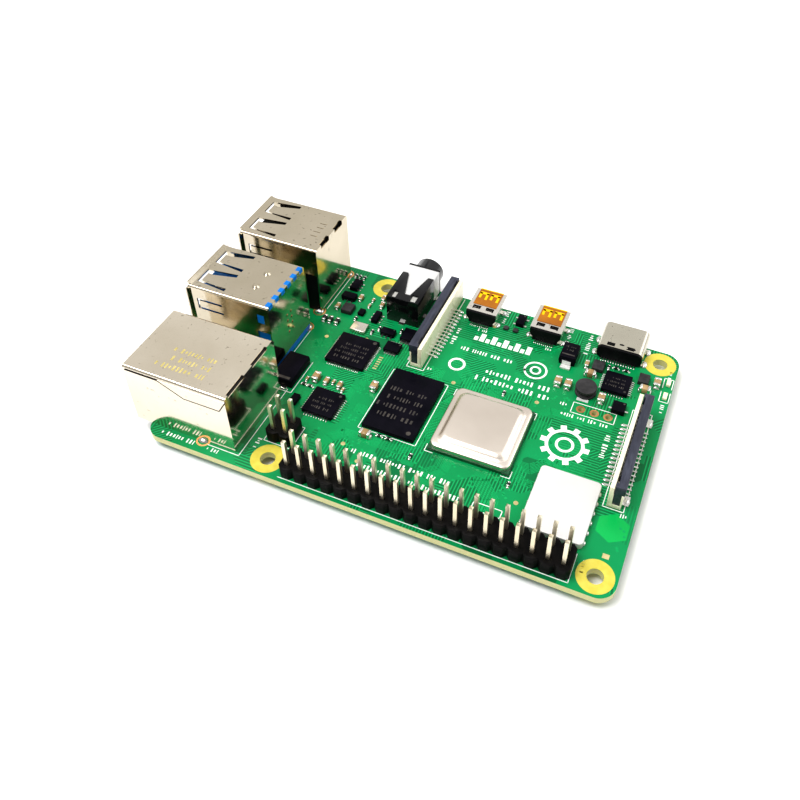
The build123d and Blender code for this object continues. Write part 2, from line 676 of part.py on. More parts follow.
# ================================================================== ribbon-cable connectors
RIBBON_HALF_LENGTH = 11.0
RIBBON_HALF_WIDTH = 1.2
RIBBON_BODY_HEIGHT = 3.6
RIBBON_WALL_HEIGHT = 5.0
RIBBON_WALL_THICKNESS = 0.85
RIBBON_SLOT_WIDTH = 0.4
RIBBON_SLOT_HALF_LENGTH = 8.2
RIBBON_SLOT_BOTTOM = 0.8
RIBBON_LATCH_HEIGHT = 5.5
RIBBON_LATCH_OVERHANG = 0.2
RIBBON_LATCH_GAP = 0.05
RIBBON_LEG_LENGTH = 1.0
RIBBON_LEG_BOTTOM = 0.9
RIBBON_LEG_NEAR = -0.35
RIBBON_LEG_FAR = 0.85
RIBBON_WEDGE_THICKNESS = 0.12
RIBBON_WEDGE_BOTTOM = 2.0
RIBBON_CONTACTS = 15
RIBBON_CONTACT_PITCH = 1.0
RIBBON_CONTACT_WIDTH = 0.35
RIBBON_CONTACT_REACH = 1.5
RIBBON_CONTACT_THICKNESS = 0.25
RIBBON_ANCHOR_INSET = 1.0
RIBBON_ANCHOR_LENGTH = 2.0
RIBBON_ANCHOR_REACH = 1.0
CAMERA_CENTRE = (46.75, 11.4)
DISPLAY_CENTRE = (3.95, 28.2)


def ribbon_box(centre, facing, low, high, mode=Mode.ADD):
    """Box in a ribbon connector's own terms: depth towards the latch, length and height."""
    cx, cy = centre
    box_between(
        (cx + facing * low[0], cy + low[1], low[2]),
        (cx + facing * high[0], cy + high[1], high[2]),
        mode=mode,
    )


def ribbon_body(centre, facing):
    """Cream housing: a cable slot, one tall wall and a guide groove for each latch leg."""
    wall = -RIBBON_HALF_WIDTH + RIBBON_WALL_THICKNESS
    inner_end = RIBBON_HALF_LENGTH - RIBBON_LEG_LENGTH - 2 * RIBBON_LATCH_GAP
    near = RIBBON_LEG_NEAR - RIBBON_LATCH_GAP
    far = RIBBON_LEG_FAR + RIBBON_LATCH_GAP
    with BuildPart() as body:
        ribbon_box(
            centre, facing,
            (-RIBBON_HALF_WIDTH, -RIBBON_HALF_LENGTH, 0),
            (RIBBON_HALF_WIDTH, RIBBON_HALF_LENGTH, RIBBON_BODY_HEIGHT),
        )
        ribbon_box(
            centre, facing,
            (-RIBBON_HALF_WIDTH, -RIBBON_HALF_LENGTH, RIBBON_BODY_HEIGHT),
            (wall - 2 * RIBBON_LATCH_GAP, RIBBON_HALF_LENGTH, RIBBON_WALL_HEIGHT),
        )
        ribbon_box(
            centre, facing,
            (wall, -RIBBON_SLOT_HALF_LENGTH, RIBBON_SLOT_BOTTOM),
            (wall + RIBBON_SLOT_WIDTH, RIBBON_SLOT_HALF_LENGTH, RIBBON_WALL_HEIGHT),
            mode=Mode.SUBTRACT,
        )
        for side in (-1, 1):
            ribbon_box(
                centre, facing,
                (near, side * inner_end, RIBBON_LEG_BOTTOM - RIBBON_LATCH_GAP),
                (far, side * (RIBBON_HALF_LENGTH + RIBBON_LEG_LENGTH), RIBBON_WALL_HEIGHT),
                mode=Mode.SUBTRACT,
            )
    return body


def ribbon_latch(centre, facing):
    """Dark clamp bar with a leg in each end groove and a thin wedge in the cable slot."""
    wall = -RIBBON_HALF_WIDTH + RIBBON_WALL_THICKNESS
    bottom = RIBBON_BODY_HEIGHT + RIBBON_LATCH_GAP
    outer_end = RIBBON_HALF_LENGTH - RIBBON_LATCH_GAP
    inner_end = RIBBON_HALF_LENGTH - RIBBON_LEG_LENGTH
    far = RIBBON_HALF_WIDTH + RIBBON_LATCH_OVERHANG
    slot_far = wall + RIBBON_SLOT_WIDTH - RIBBON_LATCH_GAP
    wedge_end = RIBBON_SLOT_HALF_LENGTH - RIBBON_LATCH_GAP
    with BuildPart() as latch:
        ribbon_box(
            centre, facing,
            (slot_far, -inner_end, bottom), (far, inner_end, RIBBON_LATCH_HEIGHT),
        )
        ribbon_box(
            centre, facing,
            (slot_far - RIBBON_WEDGE_THICKNESS, -wedge_end, RIBBON_WEDGE_BOTTOM),
            (slot_far, wedge_end, RIBBON_LATCH_HEIGHT),
        )
        for side in (-1, 1):
            ribbon_box(
                centre, facing,
                (RIBBON_LEG_NEAR, side * inner_end, RIBBON_LEG_BOTTOM),
                (RIBBON_LEG_FAR, side * outer_end, RIBBON_LATCH_HEIGHT),
            )
            ribbon_box(
                centre, facing,
                (RIBBON_LEG_NEAR, side * inner_end, bottom),
                (far, side * outer_end, RIBBON_LATCH_HEIGHT),
            )
    return latch


def ribbon_contacts(centre, facing):
    """Solder feet along the slot side, an anchor foot at each end and the blades in the slot."""
    wall = -RIBBON_HALF_WIDTH + RIBBON_WALL_THICKNESS
    half = RIBBON_CONTACT_WIDTH / 2
    anchor_near = RIBBON_HALF_LENGTH - RIBBON_ANCHOR_INSET
    anchor_far = anchor_near - RIBBON_ANCHOR_LENGTH
    with BuildPart() as contacts:
        for offset in row_offsets(RIBBON_CONTACTS, RIBBON_CONTACT_PITCH):
            ribbon_box(
                centre, facing,
                (-RIBBON_HALF_WIDTH - RIBBON_CONTACT_REACH, offset - half, 0),
                (-RIBBON_HALF_WIDTH, offset + half, RIBBON_CONTACT_THICKNESS),
            )
            ribbon_box(
                centre, facing,
                (wall, offset - half, RIBBON_SLOT_BOTTOM),
                (wall + RIBBON_LATCH_GAP, offset + half, RIBBON_BODY_HEIGHT),
            )
        for side in (-1, 1):
            ribbon_box(
                centre, facing,
                (RIBBON_HALF_WIDTH, side * anchor_far, 0),
                (RIBBON_HALF_WIDTH + RIBBON_ANCHOR_REACH, side * anchor_near, RIBBON_CONTACT_THICKNESS),
            )
    return contacts


for prefix, centre, facing in (("camera", CAMERA_CENTRE, 1), ("display", DISPLAY_CENTRE, -1)):
    keep(ribbon_body(centre, facing), f"{prefix}_connector_body")
    keep(ribbon_latch(centre, facing), f"{prefix}_connector_latch")
    keep(ribbon_contacts(centre, facing), f"{prefix}_connector_contacts")

# ================================================================== micro video sockets
VIDEO_CENTRES = (26.0, 39.5)
VIDEO_HALF_WIDTH = 3.2
VIDEO_LOWER_HALF_WIDTH = 2.6
VIDEO_HEIGHT = 3.0
VIDEO_STEP_HEIGHT = 0.9
VIDEO_FRONT = -1.0
VIDEO_REAR = 5.9
VIDEO_SHEET = 0.25
VIDEO_BLOCK_REAR = 6.35
VIDEO_FOOT_COUNT = 10
VIDEO_FOOT_PITCH = 0.4
VIDEO_FOOT_WIDTH = 0.2
VIDEO_FOOT_REACH = 0.75
VIDEO_TAB_SIZE = (0.5, 1.0, 0.5)
VIDEO_TABS_BY = (1.4, 5.3)
VIDEO_CAVITY_REAR = 4.6
VIDEO_TONGUE_HALF = 2.0
VIDEO_TONGUE = (1.2, 1.75)
VIDEO_TONGUE_FRONT = 0.2
VIDEO_SLOT_BY = (4.5, 5.15)
VIDEO_SLOT_REACH = (0.6, 2.1)
VIDEO_FILM_HALF = 2.45
VIDEO_FILM_REAR = 3.9
VIDEO_FILM_THICKNESS = 0.1


def video_profile(inset):
    """Outline of the socket: a wide upper part over a narrower foot, sheet thickness inset."""
    top = VIDEO_HEIGHT - inset
    wide = VIDEO_HALF_WIDTH - inset
    narrow = VIDEO_LOWER_HALF_WIDTH - inset
    Polyline(
        (-narrow, inset), (narrow, inset), (narrow, VIDEO_STEP_HEIGHT - inset / 2),
        (wide, VIDEO_STEP_HEIGHT + inset / 2 + VIDEO_HALF_WIDTH - VIDEO_LOWER_HALF_WIDTH),
        (wide, top), (-wide, top),
        (-wide, VIDEO_STEP_HEIGHT + inset / 2 + VIDEO_HALF_WIDTH - VIDEO_LOWER_HALF_WIDTH),
        (-narrow, VIDEO_STEP_HEIGHT - inset / 2),
        close=True,
    )


def video_shell(cx):
    """Folded steel sleeve, open at both ends, with soldering tabs and two latching slots."""
    with BuildPart() as shell:
        with BuildSketch(lengthwise(cx, VIDEO_FRONT)):
            with BuildLine():
                video_profile(0)
            make_face()
            with BuildLine():
                video_profile(VIDEO_SHEET)
            make_face(mode=Mode.SUBTRACT)
        extrude(amount=-(VIDEO_REAR - VIDEO_FRONT))
        for side in (-1, 1):
            near, far = VIDEO_SLOT_REACH
            front, rear = VIDEO_SLOT_BY
            box_between(
                (cx + side * near, front, VIDEO_HEIGHT - VIDEO_SHEET),
                (cx + side * far, rear, VIDEO_HEIGHT),
                mode=Mode.SUBTRACT,
            )
            width, length, height = VIDEO_TAB_SIZE
            inner = VIDEO_LOWER_HALF_WIDTH
            for by in VIDEO_TABS_BY:
                box_between(
                    (cx + side * (inner - VIDEO_SHEET), by - length / 2, 0),
                    (cx + side * (VIDEO_HALF_WIDTH + width), by + length / 2, VIDEO_SHEET),
                )
    return shell


def video_insulator(cx):
    """Black moulding that closes the rear of the sleeve and carries the contact tongue."""
    tongue_low, tongue_high = VIDEO_TONGUE
    with BuildPart() as insulator:
        with BuildSketch(lengthwise(cx, VIDEO_CAVITY_REAR)):
            with BuildLine():
                video_profile(VIDEO_SHEET)
            make_face()
        extrude(amount=-(VIDEO_REAR - VIDEO_CAVITY_REAR))
        with BuildSketch(lengthwise(cx, VIDEO_REAR)):
            with BuildLine():
                video_profile(VIDEO_SHEET / 2)
            make_face()
        extrude(amount=-(VIDEO_BLOCK_REAR - VIDEO_REAR))
        box_between(
            (cx - VIDEO_TONGUE_HALF, VIDEO_TONGUE_FRONT, tongue_low),
            (cx + VIDEO_TONGUE_HALF, VIDEO_CAVITY_REAR, tongue_high),
        )
    return insulator


for index, cx in enumerate(VIDEO_CENTRES):
    keep(video_shell(cx), f"hdmi_{index}_shell")
    keep(video_insulator(cx), f"hdmi_{index}_insulator")
    with BuildPart() as video_film:
        box_between(
            (cx - VIDEO_FILM_HALF, VIDEO_FRONT, VIDEO_HEIGHT),
            (cx + VIDEO_FILM_HALF, VIDEO_FILM_REAR, VIDEO_HEIGHT + VIDEO_FILM_THICKNESS),
        )
    keep(video_film, f"hdmi_{index}_film")

with BuildPart() as hdmi_contacts:
    for cx in VIDEO_CENTRES:
        for offset in row_offsets(VIDEO_FOOT_COUNT, VIDEO_FOOT_PITCH):
            half = VIDEO_FOOT_WIDTH / 2
            box_between(
                (cx + offset - half, VIDEO_BLOCK_REAR, 0),
                (cx + offset + half, VIDEO_BLOCK_REAR + VIDEO_FOOT_REACH, VIDEO_FOOT_WIDTH),
            )
            box_between(
                (cx + offset - half, VIDEO_TONGUE_FRONT + half, VIDEO_TONGUE[1]),
                (cx + offset + half, VIDEO_CAVITY_REAR, VIDEO_TONGUE[1] + half),
            )
keep(hdmi_contacts, "hdmi_contacts")

# ================================================================== usb-c power socket
USBC_CENTRE = 11.2
USBC_WIDTH = 8.94
USBC_HEIGHT = 3.2
USBC_FRONT = -1.3
USBC_SHELL_REAR = 5.6
USBC_BLOCK_REAR = 6.05
USBC_CAVITY_REAR = 4.4
USBC_SHEET = 0.25
USBC_RADIUS = 1.2
USBC_TONGUE_HALF = 3.35
USBC_TONGUE_THICKNESS = 0.7
USBC_TONGUE_FRONT = -0.6
USBC_FEET = 14
USBC_TONGUE_CONTACTS = 12
USBC_FOOT_PITCH = 0.5
USBC_FOOT_WIDTH = 0.26
USBC_FOOT_REACH = 0.6
USBC_TABS_BY = (1.3, 4.8)
USBC_TAB_SIZE = (0.7, 1.4, 0.25)
USBC_SLOTS = (9.4, 13.2)
USBC_SLOT_SIZE = (1.5, 0.3)
USBC_SLOTS_BY = (4.6, 5.2)

with BuildPart() as usb_c_shell:
    with BuildSketch(lengthwise(USBC_CENTRE, USBC_FRONT, USBC_HEIGHT / 2)):
        RectangleRounded(USBC_WIDTH, USBC_HEIGHT, USBC_RADIUS)
        RectangleRounded(
            USBC_WIDTH - 2 * USBC_SHEET, USBC_HEIGHT - 2 * USBC_SHEET, USBC_RADIUS - USBC_SHEET,
            mode=Mode.SUBTRACT,
        )
    extrude(amount=-(USBC_SHELL_REAR - USBC_FRONT))
    for bx in USBC_SLOTS:
        length, width = USBC_SLOT_SIZE
        for by in USBC_SLOTS_BY:
            box_between(
                (bx - length / 2, by - width / 2, USBC_HEIGHT - USBC_SHEET),
                (bx + length / 2, by + width / 2, USBC_HEIGHT),
                mode=Mode.SUBTRACT,
            )
    for by in USBC_TABS_BY:
        reach, length, thickness = USBC_TAB_SIZE
        for side in (-1, 1):
            wall = USBC_CENTRE + side * (USBC_WIDTH / 2 - USBC_RADIUS)
            box_between(
                (wall, by - length / 2, 0),
                (wall + side * (USBC_RADIUS + reach), by + length / 2, thickness),
            )
keep(usb_c_shell, "usb_c_shell")

with BuildPart() as usb_c_insulator:
    with BuildSketch(lengthwise(USBC_CENTRE, USBC_CAVITY_REAR, USBC_HEIGHT / 2)):
        RectangleRounded(
            USBC_WIDTH - 2 * USBC_SHEET, USBC_HEIGHT - 2 * USBC_SHEET, USBC_RADIUS - USBC_SHEET,
        )
    extrude(amount=-(USBC_SHELL_REAR - USBC_CAVITY_REAR))
    with BuildSketch(lengthwise(USBC_CENTRE, USBC_SHELL_REAR, USBC_HEIGHT / 2)):
        RectangleRounded(
            USBC_WIDTH - USBC_SHEET, USBC_HEIGHT - USBC_SHEET, USBC_RADIUS - USBC_SHEET / 2,
        )
    extrude(amount=-(USBC_BLOCK_REAR - USBC_SHELL_REAR))
    box_between(
        (USBC_CENTRE - USBC_TONGUE_HALF, USBC_TONGUE_FRONT, (USBC_HEIGHT - USBC_TONGUE_THICKNESS) / 2),
        (USBC_CENTRE + USBC_TONGUE_HALF, USBC_CAVITY_REAR, (USBC_HEIGHT + USBC_TONGUE_THICKNESS) / 2),
    )
keep(usb_c_insulator, "usb_c_insulator")

with BuildPart() as usb_c_contacts:
    half = USBC_FOOT_WIDTH / 2
    for offset in row_offsets(USBC_FEET, USBC_FOOT_PITCH):
        box_between(
            (USBC_CENTRE + offset - half, USBC_BLOCK_REAR, 0),
            (USBC_CENTRE + offset + half, USBC_BLOCK_REAR + USBC_FOOT_REACH, USBC_FOOT_WIDTH),
        )
    for offset in row_offsets(USBC_TONGUE_CONTACTS, USBC_FOOT_PITCH):
        for outward in (-1, 1):
            face = (USBC_HEIGHT + outward * USBC_TONGUE_THICKNESS) / 2
            box_between(
                (USBC_CENTRE + offset - half, USBC_TONGUE_FRONT + half, face),
                (USBC_CENTRE + offset + half, USBC_CAVITY_REAR, face + outward * half / 2),
            )
keep(usb_c_contacts, "usb_c_contacts")

# ================================================================== processor and memory
PROCESSOR_CENTRE = (29.4, 32.5)
PROCESSOR_SUBSTRATE = (15.0, 15.0, 0.7)
SPREADER_SIDE = 14.7
SPREADER_RADIUS = 1.4
SPREADER_RIM_TOP = 1.6
SPREADER_PLATEAU_SIDE = 12.7
SPREADER_TOP = 2.4
SPREADER_TAPER = 35
MEMORY_CENTRE = (44.7, 32.3)
MEMORY_SIZE = (10.0, 15.0, 0.95)

with BuildPart() as processor_substrate:
    length, width, height = PROCESSOR_SUBSTRATE
    with BuildSketch(level(*PROCESSOR_CENTRE)):
        Rectangle(length, width)
    extrude(amount=height)
keep(processor_substrate, "processor_substrate")

with BuildPart() as processor_heat_spreader:
    with BuildSketch(level(*PROCESSOR_CENTRE, PROCESSOR_SUBSTRATE[2])):
        RectangleRounded(SPREADER_SIDE, SPREADER_SIDE, SPREADER_RADIUS)
    extrude(amount=SPREADER_RIM_TOP - PROCESSOR_SUBSTRATE[2])
    with BuildSketch(level(*PROCESSOR_CENTRE, SPREADER_RIM_TOP)):
        RectangleRounded(SPREADER_PLATEAU_SIDE, SPREADER_PLATEAU_SIDE, SPREADER_RADIUS)
    extrude(amount=SPREADER_TOP - SPREADER_RIM_TOP, taper=SPREADER_TAPER)
keep(processor_heat_spreader, "processor_heat_spreader")

with BuildPart() as memory_chip:
    length, width, height = MEMORY_SIZE
    with BuildSketch(level(*MEMORY_CENTRE)):
        Rectangle(length, width)
    extrude(amount=height)
keep(memory_chip, "memory_chip")

# ================================================================== flat square chips
FLAT_CHIP_HEIGHT = 0.85
FLAT_CHIPS = (
    ("usb_controller_chip", (59.6, 23.7), 8.0, 17, 0.4),
    ("ethernet_transceiver_chip", (58.4, 37.8), 6.0, 10, 0.5),
    ("power_manager_chip", (10.0, 12.1), 5.0, 8, 0.5),
)
FLAT_LEAD_REACH = 0.4
FLAT_LEAD_WIDTH = 0.22
FLAT_LEAD_THICKNESS = 0.2

for label, centre, side, _, _ in FLAT_CHIPS:
    with BuildPart() as flat_chip:
        with BuildSketch(level(*centre)):
            Rectangle(side, side)
        extrude(amount=FLAT_CHIP_HEIGHT)
    keep(flat_chip, label)

with BuildPart() as flat_chip_leads:
    for _, centre, side, count, pitch in FLAT_CHIPS:
        with BuildSketch(level(*centre)):
            with PolarLocations(side / 2 + FLAT_LEAD_REACH / 2, 4):
                with GridLocations(pitch, pitch, 1, count):
                    Rectangle(FLAT_LEAD_REACH, FLAT_LEAD_WIDTH)
        extrude(amount=FLAT_LEAD_THICKNESS)
keep(flat_chip_leads, "flat_chip_leads")

# ================================================================== wireless module
WIRELESS_CENTRE = (11.9, 42.6)
WIRELESS_SIZE = (10.5, 12.8, 1.4)
WIRELESS_SHEET = 0.2
WIRELESS_RADIUS = 0.8
WIRELESS_CHIP = (6.0, 6.0, 0.8)

with BuildPart() as wireless_shield:
    length, width, height = WIRELESS_SIZE
    with BuildSketch(level(*WIRELESS_CENTRE)):
        RectangleRounded(length, width, WIRELESS_RADIUS)
    extrude(amount=height)
    with BuildSketch(level(*WIRELESS_CENTRE)):
        RectangleRounded(
            length - 2 * WIRELESS_SHEET, width - 2 * WIRELESS_SHEET, WIRELESS_RADIUS - WIRELESS_SHEET,
        )
    extrude(amount=height - WIRELESS_SHEET, mode=Mode.SUBTRACT)
keep(wireless_shield, "wireless_shield")

with BuildPart() as wireless_chip:
    length, width, height = WIRELESS_CHIP
    with BuildSketch(level(*WIRELESS_CENTRE)):
        Rectangle(length, width)
    extrude(amount=height)
keep(wireless_chip, "wireless_chip")

# ================================================================== power parts
POWER_INDUCTOR_CENTRE = (14.9, 16.1)
POWER_INDUCTOR_RADIUS = 2.0
POWER_INDUCTOR_WAIST = 1.6
POWER_INDUCTOR_HEIGHT = 1.8
POWER_INDUCTOR_FLANGE = 0.5
DIODE_CENTRE = (20.2, 8.5)
DIODE_SIZE = (3.3, 4.4, 2.1)
DIODE_DRAFT = 7
DIODE_LEAD = (1.6, 1.0, 0.3)
BULK_CENTRE = (67.95, 33.0)
BULK_SIZE = (4.3, 7.3, 1.9)
BULK_DRAFT = 4
BULK_LEAD = (2.2, 0.5, 0.3)

with BuildPart() as power_inductor:
    with BuildSketch(lengthwise(*POWER_INDUCTOR_CENTRE)):
        with BuildLine():
            Polyline(
                (0, 0), (POWER_INDUCTOR_RADIUS, 0), (POWER_INDUCTOR_RADIUS, POWER_INDUCTOR_FLANGE),
                (POWER_INDUCTOR_WAIST, POWER_INDUCTOR_FLANGE),
                (POWER_INDUCTOR_WAIST, POWER_INDUCTOR_HEIGHT - POWER_INDUCTOR_FLANGE),
                (POWER_INDUCTOR_RADIUS, POWER_INDUCTOR_HEIGHT - POWER_INDUCTOR_FLANGE),
                (POWER_INDUCTOR_RADIUS, POWER_INDUCTOR_HEIGHT), (0, POWER_INDUCTOR_HEIGHT),
                close=True,
            )
        make_face()
    revolve(axis=Axis(spot(*POWER_INDUCTOR_CENTRE), (0, 0, 1)))
keep(power_inductor, "power_inductor")


def moulded_block(centre, size, draft):
    """Moulded body whose sides lean in above and below its parting line."""
    length, width, height = size
    with BuildPart() as block:
        for amount in (height / 2, -height / 2):
            with BuildSketch(level(*centre, height / 2)):
                Rectangle(length, width)
            extrude(amount=amount, taper=draft)
    return block


keep(moulded_block(DIODE_CENTRE, DIODE_SIZE, DIODE_DRAFT), "input_diode_body")
keep(moulded_block(BULK_CENTRE, BULK_SIZE, BULK_DRAFT), "bulk_capacitor_body")

with BuildPart() as power_part_leads:
    for (cx, cy), size, lead in (
        (DIODE_CENTRE, DIODE_SIZE, DIODE_LEAD),
        (BULK_CENTRE, BULK_SIZE, BULK_LEAD),
    ):
        width, reach, thickness = lead
        for side in (-1, 1):
            box_between(
                (cx - width / 2, cy + side * size[1] / 2, 0),
                (cx + width / 2, cy + side * (size[1] / 2 + reach), thickness),
            )
keep(power_part_leads, "power_part_leads")

# ================================================================== small square parts
SMALL_INDUCTORS = (
    ((5.5, 9.05), (2.0, 2.4, 0.9)),
    ((14.3, 8.95), (2.2, 2.5, 0.9)),
    ((66.0, 13.0), (2.3, 2.4, 1.1)),
    ((32.2, 5.5), (1.0, 0.9, 0.5)),
    ((34.2, 5.5), (1.0, 0.9, 0.5)),
)
CRYSTALS = (((61.4, 17.1), (3.2, 2.5, 0.8)),)
STATUS_LIGHTS = (((1.0, 8.0), (0.8, 1.6, 0.6)), ((1.0, 11.6), (0.8, 1.6, 0.6)))
SMALL_CHIPS = (
    ((8.2, 18.0), (2.4, 2.4, 1.1)),
    ((31.95, 2.6), (1.6, 2.9, 1.0)),
    ((59.5, 13.0), (1.3, 2.9, 1.0)),
    ((55.4, 16.2), (2.9, 1.6, 1.0)),
    ((52.8, 19.7), (3.1, 2.4, 0.8)),
    ((51.4, 15.4), (2.3, 3.2, 0.9)),
    ((67.5, 9.4), (3.0, 1.7, 1.0)),
    ((67.8, 5.6), (1.7, 3.0, 1.0)),
    ((63.0, 12.8), (1.2, 1.6, 0.8)),
    ((63.8, 39.0), (1.3, 2.2, 0.9)),
)
SMALL_CHIP_LEADS = (
    # centre, direction of the leads, offsets along the side
    ((8.2, 18.0), 2.4, "x", (0.1,)),
    ((31.95, 2.6), 1.6, "x", (-0.95, 0.95)),
    ((59.5, 13.0), 1.3, "x", (-0.95, 0.0, 0.95)),
    ((55.4, 16.2), 1.6, "y", (-0.95, 0.0, 0.95)),
    ((51.4, 15.4), 3.2, "y", (-0.75, -0.25, 0.25, 0.75)),
    ((67.5, 9.4), 1.7, "y", (-0.95, 0.0, 0.95)),
    ((67.8, 5.6), 1.7, "x", (-0.95, 0.0, 0.95)),
    ((52.8, 19.7), 2.4, "y", (-1.0, -0.5, 0.0, 0.5, 1.0)),
)
SMALL_LEAD = (0.6, 0.35, 0.2)


def flat_blocks(parts):
    """Plain blocks standing on the board."""
    with BuildPart() as blocks:
        for (cx, cy), (length, width, height) in parts:
            box_between((cx - length / 2, cy - width / 2, 0), (cx + length / 2, cy + width / 2, height))
    return blocks


keep(flat_blocks(SMALL_INDUCTORS), "small_inductors")
keep(flat_blocks(CRYSTALS), "crystal")
keep(flat_blocks(STATUS_LIGHTS), "status_lights")
keep(flat_blocks(SMALL_CHIPS), "small_chip_bodies")

with BuildPart() as small_chip_leads:
    reach, width, thickness = SMALL_LEAD
    for (cx, cy), across, direction, offsets in SMALL_CHIP_LEADS:
        for side in (-1, 1):
            inner = side * across / 2
            outer = side * (across / 2 + reach)
            for offset in offsets:
                low, high = offset - width / 2, offset + width / 2
                if direction == "x":
                    box_between((cx + inner, cy + low, 0), (cx + outer, cy + high, thickness))
                else:
                    box_between((cx + low, cy + inner, 0), (cx + high, cy + outer, thickness))
keep(small_chip_leads, "small_chip_leads")

# ================================================================== capacitors and resistors
CHIP_SIZES = {"large": (2.0, 1.25, 1.25), "medium": (1.6, 0.8, 0.8), "small": (1.0, 0.5, 0.5)}
CHIP_END = {"large": 0.5, "medium": 0.35, "small": 0.25}
CERAMIC_CAPACITORS = (
    ("large", "y", ((3.0, 9.2), (11.7, 17.0), (18.35, 15.95), (20.3, 15.95), (51.6, 30.6), (62.7, 32.6))),
    ("large", "x", ((48.2, 41.4), (15.2, 11.6), (4.8, 11.6))),
    ("medium", "y", ((16.5, 9.2), (57.8, 32.6), (60.6, 32.6), (65.1, 8.8), (60.0, 9.2), (60.6, 7.2))),
    ("medium", "y", ((68.4, 12.9),)),
    ("small", "y", ((56.8, 33.4), (59.3, 32.2), (62.5, 10.2), (62.5, 8.3), (64.3, 33.4))),
)
CHIP_RESISTORS = (
    ("small", "x", ((9.1, 7.9), (11.1, 7.9), (62.9, 34.8), (44.0, 40.6), (45.8, 40.6), (64.2, 34.8))),
    ("small", "y", ((12.4, 8.2), (63.4, 14.8), (67.4, 2.6), (68.4, 2.6), (69.4, 2.6), (53.2, 14.6))),
    ("small", "y", ((28.8, 22.4), (21.3, 41.6), (38.9, 42.6), (58.6, 17.0), (57.6, 15.6))),
    ("medium", "y", ((66.4, 17.2), (67.9, 17.2), (69.2, 17.2))),
)


def grid_places(corner, pitch, counts):
    """Places of a rectangular grid, counted from its low corner."""
    return tuple(
        (corner[0] + pitch[0] * i, corner[1] + pitch[1] * j)
        for i in range(counts[0])
        for j in range(counts[1])
    )


UNDERSIDE_CAPACITORS = (
    ("small", "y", grid_places((24.4, 28.4), (2.5, 2.0), (5, 5))),
    ("medium", "x", grid_places((41.5, 28.0), (3.2, 2.8), (3, 4))),
)


def chip_pieces(groups, piece, underside=False):
    """Bodies or metal end caps of a list of two-ended chips, on the board's top or underside."""
    for size_name, direction, places in groups:
        length, width, height = CHIP_SIZES[size_name]
        end = CHIP_END[size_name]
        body = (-length / 2 + end, length / 2 - end)
        spans = {"body": (body,), "ends": ((-length / 2, body[0]), (body[1], length / 2))}
        bottom = -BOARD_THICKNESS - height if underside else 0
        top = bottom + height
        for cx, cy in places:
            for low, high in spans[piece]:
                if direction == "x":
                    box_between((cx + low, cy - width / 2, bottom), (cx + high, cy + width / 2, top))
                else:
                    box_between((cx - width / 2, cy + low, bottom), (cx + width / 2, cy + high, top))


with BuildPart() as ceramic_capacitors:
    chip_pieces(CERAMIC_CAPACITORS, "body")
    chip_pieces(UNDERSIDE_CAPACITORS, "body", underside=True)
keep(ceramic_capacitors, "ceramic_capacitors")

with BuildPart() as chip_resistors:
    chip_pieces(CHIP_RESISTORS, "body")
keep(chip_resistors, "chip_resistors")

with BuildPart() as chip_end_caps:
    chip_pieces(CERAMIC_CAPACITORS, "ends")
    chip_pieces(CHIP_RESISTORS, "ends")
    chip_pieces(UNDERSIDE_CAPACITORS, "ends", underside=True)
keep(chip_end_caps, "chip_end_caps")

# ================================================================== memory-card socket
CARD_CENTRE = 28.0
CARD_HALF_WIDTH = 6.0
CARD_FRONT = 1.6
CARD_REAR = 13.4
CARD_BASE = 0.35
CARD_HEIGHT = 1.4
CARD_SHEET = 0.2
CARD_CONTACTS = 8
CARD_CONTACT_PITCH = 1.1
CARD_CONTACT_SIZE = (3.0, 0.6, 0.1)

under = -BOARD_THICKNESS

with BuildPart() as card_socket_base:
    box_between(
        (CARD_FRONT, CARD_CENTRE - CARD_HALF_WIDTH, under - CARD_BASE),
        (CARD_REAR, CARD_CENTRE + CARD_HALF_WIDTH, under),
    )
keep(card_socket_base, "card_socket_base")

with BuildPart() as card_socket_cover:
    low = CARD_CENTRE - CARD_HALF_WIDTH
    high = CARD_CENTRE + CARD_HALF_WIDTH
    box_between((CARD_FRONT, low, under - CARD_HEIGHT), (CARD_REAR, high, under - CARD_BASE))
    box_between(
        (CARD_FRONT - SHEET, low + CARD_SHEET, under - CARD_HEIGHT + CARD_SHEET),
        (CARD_REAR - CARD_SHEET, high - CARD_SHEET, under - CARD_BASE),
        mode=Mode.SUBTRACT,
    )
keep(card_socket_cover, "card_socket_cover")

with BuildPart() as card_socket_contacts:
    length, width, thickness = CARD_CONTACT_SIZE
    for offset in row_offsets(CARD_CONTACTS, CARD_CONTACT_PITCH):
        box_between(
            (CARD_REAR - 2 * length, CARD_CENTRE + offset - width / 2, under - CARD_BASE - thickness),
            (CARD_REAR - length, CARD_CENTRE + offset + width / 2, under - CARD_BASE),
        )
keep(card_socket_contacts, "card_socket_contacts")
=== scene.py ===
import random
from math import atan2, cos, pi, radians, sin

import bmesh
import bpy
from mathutils import Matrix, Vector


